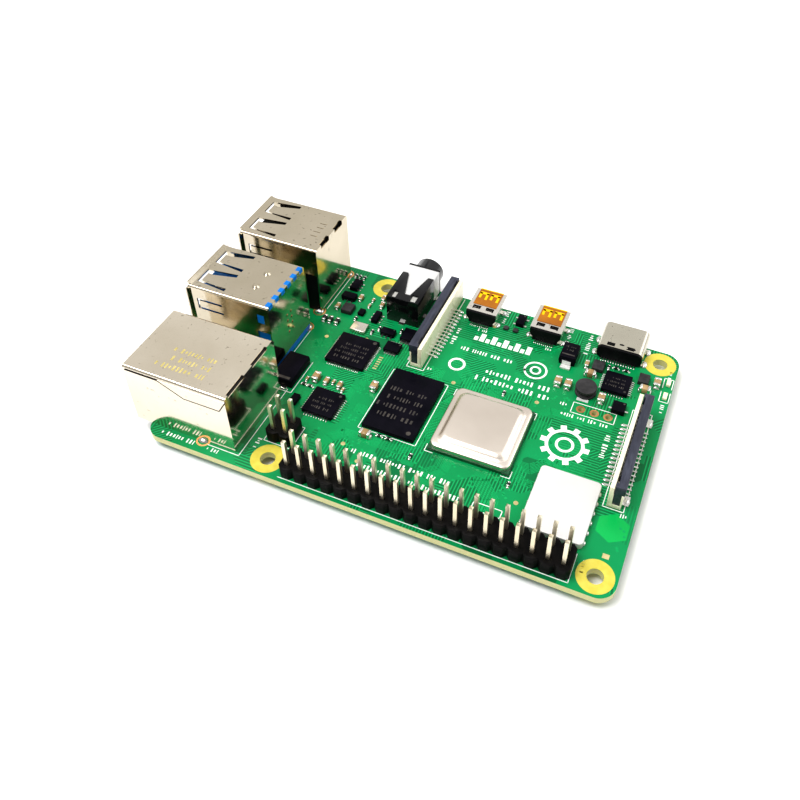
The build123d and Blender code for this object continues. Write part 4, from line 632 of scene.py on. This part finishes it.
shape = bmesh.new()
pin_spots = [
    (cx + (i - (columns - 1) / 2) * 2.54, cy + side * 1.27)
    for (cx, cy), columns in HEADER_ROWS
    for i in range(columns)
    for side in (-1, 1)
]
for place in pin_spots:
    peg(shape, place, 0.42, UNDER - 0.9, UNDER - 0.02, sides=16, top_radius=0.85)
for place in ETHERNET_TAILS + USB_TAILS:
    peg(shape, place, 0.32, UNDER - 0.8, UNDER - 0.02, sides=12, top_radius=0.7)
for place in USB_LEG_SPOTS + ETHERNET_LEG_SPOTS:
    solder_mound(shape, place, 1.0, 0.75, 0.55)
    solder_mound(shape, place, 1.1, 0.8, 0.7, UNDER)
place_piece(shape, "solder_joints", solder)

# ---------------------------------------------------------------- network socket
# A folded shell of nickel-plated steel round a black moulding, with gold spring wires and
# two clear light guides in its mouth.  Faint rows of marks are burnt into the top.
def nickel_finish(name, dark, light, low_rough, high_rough, stretch=(1, 1, 1)):
    """Plated sheet: slow warm tone, fine rolling lines, and small dull specks."""
    finish, tree_nodes, link, shader = new_finish(name, low_rough, 1.0)
    tone = effect(tree_nodes, MOTTLE, Scale=90.0)
    specks = effect(tree_nodes, MOTTLE, Scale=1400.0)
    few = mask(tree_nodes, link, specks.outputs["Mask"], 0.9, 1.0)
    base = two_tone(tree_nodes, link, tone.outputs["Mask"], dark, light)
    colour = tree_nodes.new("ShaderNodeMix")
    colour.data_type = "RGBA"
    colour.inputs["B"].default_value = (*(value * 0.7 for value in dark), 1)
    link(few, colour.inputs["Factor"])
    link(base, colour.inputs["A"])
    link(colour.outputs["Result"], shader.inputs["Base Color"])
    gloss = tree_nodes.new("ShaderNodeMapRange")
    gloss.inputs["To Min"].default_value = low_rough
    gloss.inputs["To Max"].default_value = high_rough
    link(specks.outputs["Mask"], gloss.inputs["Value"])
    link(gloss.outputs["Result"], shader.inputs["Roughness"])
    lines = effect(tree_nodes, GRAIN, Scale=1500.0, Stretch=stretch)
    relief(tree_nodes, link, lines.outputs["Height"], shader, 2e-6, 0.5)
    return finish


warm_nickel = nickel_finish("warm_nickel", (0.56, 0.50, 0.38), (0.66, 0.59, 0.47), 0.09, 0.16, (0.08, 1, 1))
pale_nickel = nickel_finish("pale_nickel", (0.76, 0.68, 0.55), (0.86, 0.78, 0.65), 0.09, 0.16, (0.08, 1, 1))
socket_plastic = varied_finish(
    "socket_plastic", (0.004, 0.004, 0.005), (0.009, 0.009, 0.010), 0.35, 0.5, mottle=300.0, depth=3e-6,
    specular=0.1)
contact_gold = varied_finish(
    "contact_gold", (0.78, 0.52, 0.16), (0.92, 0.68, 0.3), 0.15, 0.28, metallic=1.0, mottle=700.0)
guide = varied_finish("light_guide", (0.72, 0.74, 0.62), (0.85, 0.85, 0.74), 0.1, 0.2, mottle=300.0, coat=0.6)
marks = varied_finish("burnt_marks", (0.55, 0.46, 0.16), (0.68, 0.58, 0.24), 0.35, 0.5, metallic=0.6, mottle=900.0)
dress("ethernet_shell", pale_nickel)
dress("ethernet_housing", socket_plastic)
dress("ethernet_contacts", contact_gold)
dress("ethernet_light_pipes", guide)

ETHERNET_TOP = 13.45
ETHERNET_SIDES = (37.95, 53.55)
shape = bmesh.new()
for start, end, height in (
    ((73.2, 50.6), (82.4, 50.6), 1.1), ((73.2, 48.6), (80.0, 48.6), 1.1), ((73.2, 46.6), (81.2, 46.6), 1.1),
):
    label_bars(shape, start, end, height, ETHERNET_TOP - 0.01, ETHERNET_TOP + 0.01)
place_piece(shape, "ethernet_marks", marks)


def seam(shape, start, end, by, width, depth):
    """Closed thin box on a side face along a straight run of (bx, height) places."""
    a, b = spot(start[0], by, start[1]), spot(end[0], by, end[1])
    run = b - a
    turn = Matrix.Rotation(-atan2(run.z, run.x), 4, "Y")
    size = Matrix.Diagonal((run.length, depth * MM, width * MM, 1))
    bmesh.ops.create_cube(shape, size=1, matrix=Matrix.Translation((a + b) / 2) @ turn @ size)


# The seam round the flap that the top folds down over each side, drawn as a strip of black plastic on the sheet:
# painted shade in the narrow gap, with the black moulding behind it.
SEAM_ROUTE = ((67.2, 12.8), (68.7, 10.3), (75.8, 10.3), (80.7, 12.8), (87.4, 12.8))
shape = bmesh.new()
for by in ETHERNET_SIDES:
    for start, end in zip(SEAM_ROUTE, SEAM_ROUTE[1:]):
        seam(shape, start, end, by, 0.17, 0.34)
place_piece(shape, "ethernet_seam_shade", socket_plastic)

# ---------------------------------------------------------------- stacked serial sockets
# Two tall shells of folded plated steel, each round a moulding with two ports: blue in one
# and black in the other.  Spring tongues are cut into their tops and sides.
blue_moulding = varied_finish(
    "blue_moulding", (0.001, 0.12, 0.44), (0.003, 0.20, 0.60), 0.3, 0.42, mottle=200.0, depth=3e-6, specular=0.25)
for stack in ("usb3", "usb2"):
    dress(f"{stack}_shell", warm_nickel)
    dress(f"{stack}_contacts", contact_gold)
dress("usb3_housing", blue_moulding)
dress("usb2_housing", socket_plastic)

USB_TOP = 15.9
USB_BACK = 70.7
shape = bmesh.new()
for offset in (-2.1, -0.7, 0.7, 2.1):
    bar(shape, (72.9, 9.0 + offset), (74.3, 9.0 + offset), 0.32, USB_TOP - 0.05, USB_TOP + 0.08)
turn = Matrix.Rotation(pi / 2, 4, "Y")
for offset in (-0.7, 0.7):
    for height in (5.2, 6.6, 8.0, 9.4):
        bmesh.ops.create_cone(
            shape, cap_ends=True, segments=12, radius1=0.32 * MM, radius2=0.18 * MM, depth=0.16 * MM,
            matrix=Matrix.Translation(spot(USB_BACK - 0.04, 27.0 + offset, height)) @ turn,
        )
place_piece(shape, "stamped_marks", warm_nickel)

# ---------------------------------------------------------------- audio and video jack
# A glossy black moulding with tinned spring contacts that show through two windows in its top. The pale
# grey insert behind its barrel is a painted highlight: it stands for glare on the glossy black top.
jack_gloss = varied_finish(
    "jack_gloss", (0.003, 0.003, 0.004), (0.006, 0.006, 0.007), 0.12, 0.22, mottle=200.0, depth=1e-6, coat=0.1, specular=0.3)
# Pale grey of the insert on the jack's top: a painted highlight for glare on the glossy black.
jack_painted_glare = varied_finish(
    "jack_painted_glare", (0.56, 0.56, 0.55), (0.66, 0.65, 0.64), 0.28, 0.4, mottle=250.0, depth=2e-6)
tin = varied_finish("tinned_strip", (0.66, 0.65, 0.61), (0.84, 0.83, 0.80), 0.16, 0.3, metallic=1.0, mottle=900.0)
softened("av_jack_body", "av_jack_moulding", jack_gloss, 0.1)
softened("av_jack_core", "av_jack_glare_insert", jack_painted_glare, 0.1)
dress("av_jack_contacts", tin)
shape = bmesh.new()
for bx, width in ((52.1, 1.05), (56.2, 0.8)):
    bar(shape, (bx, 10.05), (bx, 11.6), width, 5.0, 6.05)
place_piece(shape, "jack_window_strips", tin)

# ---------------------------------------------------------------- ribbon-cable connectors
# Long cream mouldings with a slate clamp bar that lifts straight up to free the cable.
# Fifteen tinned feet stand along one side, each in its own fillet of solder.
cream = varied_finish(
    "cream_moulding", (0.84, 0.77, 0.56), (0.92, 0.87, 0.68), 0.24, 0.36, mottle=260.0, depth=2e-6, coat=0.25)


def worn_slate():
    """Slate moulding with pale scuffs, as clamp bars get from handling."""
    finish, tree_nodes, link, shader = new_finish("worn_slate", 0.42)
    slow = effect(tree_nodes, MOTTLE, Scale=260.0, Stretch=(1, 0.3, 1))
    fine = effect(tree_nodes, MOTTLE, Scale=2200.0, Stretch=(1, 0.2, 1))
    scuffs = combine(tree_nodes, link, "MULTIPLY", slow.outputs["Mask"], fine.outputs["Mask"])
    link(two_tone(tree_nodes, link, scuffs, (0.018, 0.020, 0.036), (0.065, 0.07, 0.105)), shader.inputs["Base Color"])
    gloss = tree_nodes.new("ShaderNodeMapRange")
    gloss.inputs["To Min"].default_value = 0.34
    gloss.inputs["To Max"].default_value = 0.58
    link(fine.outputs["Mask"], gloss.inputs["Value"])
    link(gloss.outputs["Result"], shader.inputs["Roughness"])
    grains = effect(tree_nodes, GRAIN, Scale=3500.0)
    relief(tree_nodes, link, grains.outputs["Height"], shader, 4e-6)
    return finish


slate = worn_slate()
for name, centre_x, centre_y, facing in (("camera", 46.75, 11.4, 1), ("display", 3.95, 28.2, -1)):
    softened(f"{name}_connector_body", f"{name}_connector_moulding", cream, 0.12)
    softened(f"{name}_connector_latch", f"{name}_clamp_bar", slate, 0.12, body=f"{name}_latch")
    dress(f"{name}_connector_contacts", tin)
    shape = bmesh.new()
    for i in range(15):
        foot = (centre_x - facing * 2.45, centre_y + i - 7)
        solder_mound(shape, foot, 0.62, 0.3, 0.2)
        inner_y = centre_y + i - 6.5
        bar(shape, (centre_x + facing * 1.15, inner_y), (centre_x + facing * 2.0, inner_y), 0.32, 0.0, 0.22)
    for side in (-1, 1):
        solder_mound(shape, (centre_x + facing * 1.75, centre_y + side * 9.0), 0.6, 1.0, 0.3)
    place_piece(shape, f"{name}_connector_solder", solder)

# ---------------------------------------------------------------- micro video sockets
# Small folded sleeves of plated steel at the board's edge.  A pickup film of amber polyimide
# is stuck over each, with a bright yellow print on it.
amber = varied_finish(
    "amber_film", (0.27, 0.085, 0.001), (0.42, 0.15, 0.002), 0.14, 0.24, mottle=160.0, depth=1e-6, coat=0.2, specular=0.3)
yellow = varied_finish("yellow_film", (0.80, 0.46, 0.001), (0.93, 0.60, 0.003), 0.2, 0.3, mottle=350.0, specular=0.2)
steel = nickel_finish("sleeve_steel", (0.74, 0.71, 0.65), (0.84, 0.81, 0.75), 0.2, 0.3, (1, 0.08, 1))
FILM_TOP = 3.1
for index, centre in enumerate((26.0, 39.5)):
    dress(f"hdmi_{index}_shell", steel)
    dress(f"hdmi_{index}_insulator", socket_plastic)
    dress(f"hdmi_{index}_film", amber)
dress("hdmi_contacts", tin)
shape = bmesh.new()
for centre in (26.0, 39.5):
    for side in (-1, 1):
        middle = centre + side * 1.2
        for start, end, width in (
            ((middle - 0.68, 0.2), (middle - 0.68, 2.2), 0.5),
            ((middle + 0.68, 0.2), (middle + 0.68, 1.9), 0.5),
            ((middle - 0.93, 0.3), (middle + 0.93, 0.3), 0.7),
        ):
            bar(shape, start, end, width, FILM_TOP - 0.02, FILM_TOP + 0.02)
    bar(shape, (centre - 2.45, -0.87), (centre + 2.45, -0.87), 0.26, FILM_TOP - 0.02, FILM_TOP + 0.03)
place_piece(shape, "film_print", yellow)

# Hooked cut-outs behind each film, where the sleeve's latches are punched, drawn as thin black bars on the sheet:
# painted shade in the openings, with the dark insulator behind.
shape = bmesh.new()
for centre in (26.0, 39.5):
    for side in (-1, 1):
        bar(shape, (centre + side * 0.55, 4.35), (centre + side * 2.2, 4.35), 0.28, 2.95, 3.015)
        bar(shape, (centre + side * 2.06, 4.35), (centre + side * 2.06, 5.3), 0.28, 2.95, 3.015)
        bar(shape, (centre + side * 0.69, 4.35), (centre + side * 0.69, 4.95), 0.28, 2.95, 3.015)
place_piece(shape, "latch_openings_shade", socket_plastic)

shape = bmesh.new()
for centre in (26.0, 39.5):
    for side in (-1, 1):
        for by in (1.4, 5.3):
            solder_mound(shape, (centre + side * 3.5, by), 0.55, 0.7, 0.42)
    for i in range(10):
        solder_mound(shape, (centre + (i - 4.5) * 0.4, 6.95), 0.14, 0.4, 0.16)
place_piece(shape, "video_socket_solder", solder)

# ---------------------------------------------------------------- power socket
# A round-edged sleeve of drawn steel with a black tongue inside and fourteen feet behind.
drawn_steel = nickel_finish("drawn_steel", (0.56, 0.53, 0.44), (0.66, 0.63, 0.54), 0.14, 0.24, (1, 0.08, 1))
dress("usb_c_shell", drawn_steel)
dress("usb_c_insulator", socket_plastic)
dress("usb_c_contacts", tin)
shape = bmesh.new()
for side in (-1, 1):
    for by in (1.3, 4.8):
        solder_mound(shape, (11.2 + side * 4.9, by), 0.6, 0.9, 0.45)
for i in range(14):
    solder_mound(shape, (11.2 + (i - 6.5) * 0.5, 6.5), 0.17, 0.42, 0.18)
place_piece(shape, "power_socket_solder", solder)

# Slots punched in the sleeve's top, drawn as thin black bars on the sheet: painted shade in the openings, with the
# black tongue behind. A small flat black mound sits in the middle.
shape = bmesh.new()
solder_mound(shape, (11.2, 4.4), 0.5, 0.22, 0.06, 3.2)
for side in (-1, 1):
    bar(shape, (11.2 + side * 1.25, 4.9), (11.2 + side * 2.75, 4.9), 0.3, 3.15, 3.215)
    bar(shape, (11.2 + side * 1.4, 4.5), (11.2 + side * 1.4, 5.3), 0.3, 3.15, 3.215)
place_piece(shape, "power_socket_slot_shade", socket_plastic)

# ---------------------------------------------------------------- processor
# A dark green laminate carrier with a stamped lid of nickel-plated copper: a low rim and a
# raised flat middle with rolled edges.
def square_ring(shape, ring, side, radius, height):
    """Closed loop of a rounded square, as one edge loop to bridge to the next."""
    corner = bmesh.ops.create_grid(shape, x_segments=1, y_segments=1, size=side / 2 * MM)["verts"]
    bmesh.ops.translate(shape, verts=corner, vec=spot(*ring, height))
    bmesh.ops.bevel(
        shape, geom=corner, offset=radius * MM, segments=8, affect="VERTICES",
        profile=0.5, clamp_overlap=True, material=-1,
    )


LID_CENTRE = (29.4, 32.5)
LID_STEPS = (
    # side, corner radius, height: a stack of rounded squares from the carrier to the flat top
    (14.7, 1.4, 0.7), (14.7, 1.4, 1.36), (14.55, 1.35, 1.5), (14.2, 1.2, 1.58), (13.1, 1.4, 1.6),
    (12.7, 1.5, 1.65), (12.1, 1.5, 1.95), (11.4, 1.5, 2.27), (10.9, 1.45, 2.37), (10.4, 1.4, 2.4),
)
lid_nickel = varied_finish(
    "lid_nickel", (0.74, 0.66, 0.58), (0.82, 0.74, 0.66), 0.3, 0.38, metallic=1.0, mottle=70.0, grain=4000.0)
shape = bmesh.new()
loops = []
for side, radius, height in LID_STEPS:
    known = set(shape.edges)
    square_ring(shape, LID_CENTRE, side, radius, height)
    loops.append([edge for edge in shape.edges if edge not in known])
inner_faces = list(shape.faces)
bmesh.ops.delete(shape, geom=inner_faces[1:-1], context="FACES_ONLY")
for lower, upper in zip(loops, loops[1:]):
    bmesh.ops.bridge_loops(shape, edges=lower + upper)
lid = place_piece(shape, "processor_lid", lid_nickel, smooth=60)
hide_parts("processor_heat_spreader")
carrier = varied_finish(
    "carrier_green", (0.004, 0.06, 0.02), (0.01, 0.10, 0.04), 0.25, 0.4, mottle=500.0, coat=0.3)
dress("processor_substrate", carrier)

# ---------------------------------------------------------------- memory and flat chips
# Packages of moulded black epoxy with faint burnt markings, and a round dimple or dot at
# the first pin.  Lands of tinned copper stick out under the square ones.
epoxy = varied_finish(
    "chip_epoxy", (0.003, 0.003, 0.006), (0.007, 0.006, 0.011), 0.34, 0.48, mottle=350.0, grain=5000.0, depth=3e-6,
    specular=0.05)
mark_grey = varied_finish(
    "chip_marks", (0.035, 0.032, 0.03), (0.085, 0.075, 0.065), 0.5, 0.65, mottle=900.0, specular=0.2)
ENGRAVED = 0.006
for node in ("memory_chip", "usb_controller_chip", "ethernet_transceiver_chip", "power_manager_chip",
             "wireless_chip", "small_chip_bodies"):
    softened(node, f"{node}_package", epoxy, 0.05)
dress("flat_chip_leads", tin)
dress("small_chip_leads", tin)
shape = bmesh.new()
for lines, top in (
    ((((41.2, 36.2), (48.0, 36.2), 1.15), ((41.2, 34.0), (48.6, 34.0), 1.0), ((41.2, 31.9), (47.2, 31.9), 1.0),
      ((41.2, 29.8), (48.4, 29.8), 1.0)), 0.95),
    ((((57.0, 26.2), (62.2, 26.2), 0.75), ((56.6, 24.9), (62.6, 24.9), 0.65), ((56.6, 23.7), (62.0, 23.7), 0.65),
      ((56.6, 22.5), (61.4, 22.5), 0.65)), 0.85),
    ((((56.6, 39.4), (60.2, 39.4), 0.65), ((56.6, 38.2), (60.4, 38.2), 0.55), ((56.6, 37.1), (59.8, 37.1), 0.55)),
     0.85),
    ((((8.5, 13.2), (11.6, 13.2), 0.5), ((8.5, 12.2), (11.4, 12.2), 0.45), ((8.5, 11.2), (11.0, 11.2), 0.45)),
     0.85),
):
    for start, end, height in lines:
        label_bars(shape, start, end, height, top - ENGRAVED, top + ENGRAVED)
for centre, radius, top in (
    ((41.0, 38.7), 0.45, 0.95), ((56.3, 20.4), 0.4, 0.85), ((56.1, 35.5), 0.3, 0.85), ((8.1, 14.0), 0.25, 0.85),
    ((7.4, 17.2), 0.2, 1.1), ((31.5, 1.6), 0.16, 1.0), ((54.3, 15.7), 0.16, 1.0), ((51.6, 18.9), 0.2, 0.8),
):
    peg(shape, centre, radius, top - ENGRAVED, top + ENGRAVED, sides=16)
place_piece(shape, "package_marks", mark_grey)

shape = bmesh.new()
for (cx, cy), side, count, pitch in (
    ((59.6, 23.7), 8.0, 17, 0.4), ((58.4, 37.8), 6.0, 10, 0.5), ((10.0, 12.1), 5.0, 8, 0.5),
):
    for i in range(count):
        along = (i - (count - 1) / 2) * pitch
        for dx, dy in ((1, 0), (-1, 0), (0, 1), (0, -1)):
            foot = (cx + dx * (side / 2 + 0.3) + dy * along, cy + dy * (side / 2 + 0.3) + dx * along)
            solder_mound(shape, foot, 0.38 if dx else 0.13, 0.38 if dy else 0.13, 0.2)
place_piece(shape, "flat_chip_solder", solder)

# ---------------------------------------------------------------- wireless module
# A drawn can of satin tinned steel over the wireless parts, soldered to the board at points
# along its foot.
satin_tin = varied_finish("satin_tin", (0.64, 0.63, 0.62), (0.70, 0.69, 0.68), 0.4, 0.5, metallic=0.3, mottle=60.0)
softened("wireless_shield", "wireless_can", satin_tin, 0.18, 3)
shape = bmesh.new()
for i in range(6):
    solder_mound(shape, (6.6, 37.6 + 2.0 * i), 0.3, 0.5, 0.35)
    solder_mound(shape, (17.2, 37.6 + 2.0 * i), 0.3, 0.5, 0.35)
for i in range(4):
    solder_mound(shape, (8.6 + 2.2 * i, 36.15), 0.5, 0.3, 0.35)
    solder_mound(shape, (8.6 + 2.2 * i, 49.05), 0.5, 0.3, 0.35)
place_piece(shape, "wireless_can_solder", solder)

# ---------------------------------------------------------------- power parts
# A black drum inductor, a diode and a tantalum capacitor in moulded epoxy with
# folded tinned ends, and small flat inductors.
ferrite = varied_finish(
    "ferrite_grey", (0.018, 0.017, 0.018), (0.046, 0.044, 0.046), 0.5, 0.7, mottle=800.0, depth=8e-6,
    specular=0.3)
softened("power_inductor", "drum_inductor", ferrite, 0.1)
softened("small_inductors", "flat_inductors", ferrite, 0.08)
softened("input_diode_body", "diode_package", epoxy, 0.08)
softened("bulk_capacitor_body", "bulk_capacitor_package", epoxy, 0.1)
dress("power_part_leads", tin)
bright_tin = varied_finish(
    "bright_tin", (0.70, 0.70, 0.68), (0.84, 0.84, 0.82), 0.35, 0.5, metallic=0.35, mottle=900.0)
shape = bmesh.new()
bar(shape, (18.95, 9.75), (21.45, 9.75), 0.32, 2.09, 2.11)
for start, end in (((19.2, 7.6), (21.2, 7.6)), ((19.5, 8.5), (20.9, 8.5))):
    label_bars(shape, start, end, 0.5, 2.09, 2.11)
bar(shape, (66.4, 36.0), (69.5, 36.0), 0.6, 1.89, 1.91)
place_piece(shape, "polarity_bands", mark_grey)
shape = bmesh.new()
for (cx, cy), reach, half in (((20.2, 8.5), 2.7, 1.0), ((67.95, 33.0), 3.9, 1.25)):
    for side in (-1, 1):
        solder_mound(shape, (cx, cy + side * reach), half, 0.55, 0.3)
place_piece(shape, "power_part_solder", solder)

# The diode's flat leads fold up over its ends from wide lands, and the coil stands on two.
shape = bmesh.new()
for side in (-1, 1):
    bar(shape, (19.25, 8.5 + side * 2.9), (21.15, 8.5 + side * 2.9), 0.95, 0.0, 0.32)
    bar(shape, (19.35, 8.5 + side * 2.28), (21.05, 8.5 + side * 2.28), 0.18, 0.1, 1.15)
    bar(shape, (13.8, 16.1 + side * 2.15), (16.0, 16.1 + side * 2.15), 0.7, 0.0, 0.14)
place_piece(shape, "folded_leads_and_lands", bright_tin)

# ---------------------------------------------------------------- crystal and status lights
# A ceramic can with a seam-welded metal lid, and two light-emitting chips in cream resin.
can_steel = nickel_finish("can_steel", (0.62, 0.58, 0.50), (0.74, 0.70, 0.62), 0.2, 0.3)
resin = varied_finish("cream_resin", (0.80, 0.74, 0.50), (0.90, 0.86, 0.66), 0.2, 0.3, mottle=900.0, coat=0.4)
softened("crystal", "crystal_can", can_steel, 0.12)
softened("status_lights", "status_light_chips", resin, 0.06)

# ---------------------------------------------------------------- capacitors and resistors
# Two-ended chips: tan ceramic or black-glazed bodies between bright tinned ends, each end in
# a small wedge of solder on its land.
ceramic = varied_finish(
    "tan_ceramic", (0.28, 0.17, 0.07), (0.46, 0.31, 0.15), 0.35, 0.5, mottle=420.0, grain=4000.0)
glaze = varied_finish("resistor_glaze", (0.006, 0.006, 0.007), (0.015, 0.015, 0.016), 0.2, 0.32, mottle=900.0)
softened("ceramic_capacitors", "ceramic_capacitor_bodies", ceramic, 0.04, 1)
softened("chip_resistors", "chip_resistor_bodies", glaze, 0.03, 1)
softened("chip_end_caps", "chip_end_metal", tin, 0.04, 1)

CHIP_LENGTHS = {"large": (2.0, 1.25), "medium": (1.6, 0.8), "small": (1.0, 0.5)}
CHIP_PLACES = (
    ("large", "y", ((3.0, 9.2), (11.7, 17.0), (18.35, 15.95), (20.3, 15.95), (51.6, 30.6), (62.7, 32.6))),
    ("large", "x", ((48.2, 41.4), (15.2, 11.6), (4.8, 11.6))),
    ("medium", "y", ((16.5, 9.2), (57.8, 32.6), (60.6, 32.6), (65.1, 8.8), (60.0, 9.2), (60.6, 7.2))),
    ("medium", "y", ((68.4, 12.9), (66.4, 17.2), (67.9, 17.2), (69.2, 17.2))),
    ("small", "y", ((56.8, 33.4), (59.3, 32.2), (62.5, 10.2), (62.5, 8.3), (64.3, 33.4))),
    ("small", "x", ((9.1, 7.9), (11.1, 7.9), (62.9, 34.8), (44.0, 40.6), (45.8, 40.6), (64.2, 34.8))),
    ("small", "y", ((12.4, 8.2), (63.4, 14.8), (67.4, 2.6), (68.4, 2.6), (69.4, 2.6), (53.2, 14.6))),
    ("small", "y", ((28.8, 22.4), (21.3, 41.6), (38.9, 42.6), (58.6, 17.0), (57.6, 15.6))),
)
shape = bmesh.new()
for size_name, direction, places in CHIP_PLACES:
    length, width = CHIP_LENGTHS[size_name]
    for cx, cy in places:
        for side in (-1, 1):
            reach = side * (length / 2 + 0.08)
            if direction == "x":
                solder_mound(shape, (cx + reach, cy), 0.22, width / 2 + 0.06, width * 0.45)
            else:
                solder_mound(shape, (cx, cy + reach), width / 2 + 0.06, 0.22, width * 0.45)
place_piece(shape, "chip_solder", solder)

# ---------------------------------------------------------------- memory-card socket
# A black moulding under the board with a thin stamped steel cover and gold contact strips.
softened("card_socket_base", "card_socket_moulding", socket_plastic, 0.06)
dress("card_socket_cover", steel)
dress("card_socket_contacts", contact_gold)
shape = bmesh.new()
for place in ((3.2, 23.4), (3.2, 32.6), (11.8, 23.4), (11.8, 32.6)):
    turned_ring(shape, place, 0.35, 0.6, UNDER - 1.4, UNDER - 1.36)
for side in (-1, 1):
    for bx in (2.6, 12.4):
        solder_mound(shape, (bx, 28.0 + side * 6.1), 0.9, 0.45, 0.35, UNDER)
place_piece(shape, "card_socket_solder", solder)

# ---------------------------------------------------------------- studio
# A plain pale floor and soft light from above, with the camera over the pin header.
floor_shape = bmesh.new()
bmesh.ops.create_grid(floor_shape, x_segments=1, y_segments=1, size=1.5)
FLOOR_GAP = 0.0001
lowest = cad_box[0][2]
bmesh.ops.translate(floor_shape, verts=floor_shape.verts, vec=(0, 0, lowest - FLOOR_GAP))
floor_mesh = bpy.data.meshes.new("floor")
floor_shape.to_mesh(floor_mesh)
floor_shape.free()
floor = bpy.data.objects.new("floor", floor_mesh)
bpy.context.scene.collection.objects.link(floor)
floor_finish, _, _, floor_shader = new_finish("floor_paper", 0.9)
floor_shader.inputs["Base Color"].default_value = (0.9, 0.9, 0.9, 1)
floor_mesh.materials.append(floor_finish)

world = bpy.data.worlds.new("studio")
world.use_nodes = True
sky_nodes = world.node_tree.nodes
sky_links = world.node_tree.links
sky_nodes["Background"].inputs["Color"].default_value = (1, 0.99, 0.97, 1)
heading = sky_nodes.new("ShaderNodeTexCoord")
parts = sky_nodes.new("ShaderNodeSeparateXYZ")
glow = sky_nodes.new("ShaderNodeMapRange")
for name, value in (("From Min", -0.9), ("From Max", 0.3), ("To Min", 0.82), ("To Max", 0.42)):
    glow.inputs[name].default_value = value
sky_links.new(heading.outputs["Generated"], parts.inputs["Vector"])
sky_links.new(parts.outputs["Y"], glow.inputs["Value"])
sky_links.new(glow.outputs["Result"], sky_nodes["Background"].inputs["Strength"])
bpy.context.scene.world = world


def soft_light(name, place, aim, size, power):
    """Square area light at a place in metres, turned to its aim."""
    data = bpy.data.lights.new(name, "AREA")
    data.size = size
    data.energy = power
    lamp = bpy.data.objects.new(name, data)
    lamp.location = place
    lamp.rotation_euler = (Vector(aim) - Vector(place)).to_track_quat("-Z", "Y").to_euler()
    bpy.context.scene.collection.objects.link(lamp)


soft_light("key", (0.15, 0.1, 0.4), (0, 0, 0), 0.25, 1.7)
soft_light("fill", (-0.3, -0.2, 0.3), (0, 0, 0), 0.4, 0.7)

CAMERA_PLACE = Vector((-0.03345, 0.10009, 0.12106))
CAMERA_AIM = Vector((0.02113, -0.02905, 0.0))
camera_data = bpy.data.cameras.new("camera")
camera_data.lens = 38.8
camera_data.shift_x = -0.0375
camera_data.shift_y = -0.1375
camera = bpy.data.objects.new("camera", camera_data)
camera.location = CAMERA_PLACE
camera.rotation_euler = (CAMERA_AIM - CAMERA_PLACE).to_track_quat("-Z", "Y").to_euler()
camera_data.clip_start = 0.005
bpy.context.scene.collection.objects.link(camera)
bpy.context.scene.camera = camera
bpy.context.scene.view_settings.view_transform = "Standard"
bpy.context.scene.view_settings.look = "Medium High Contrast"
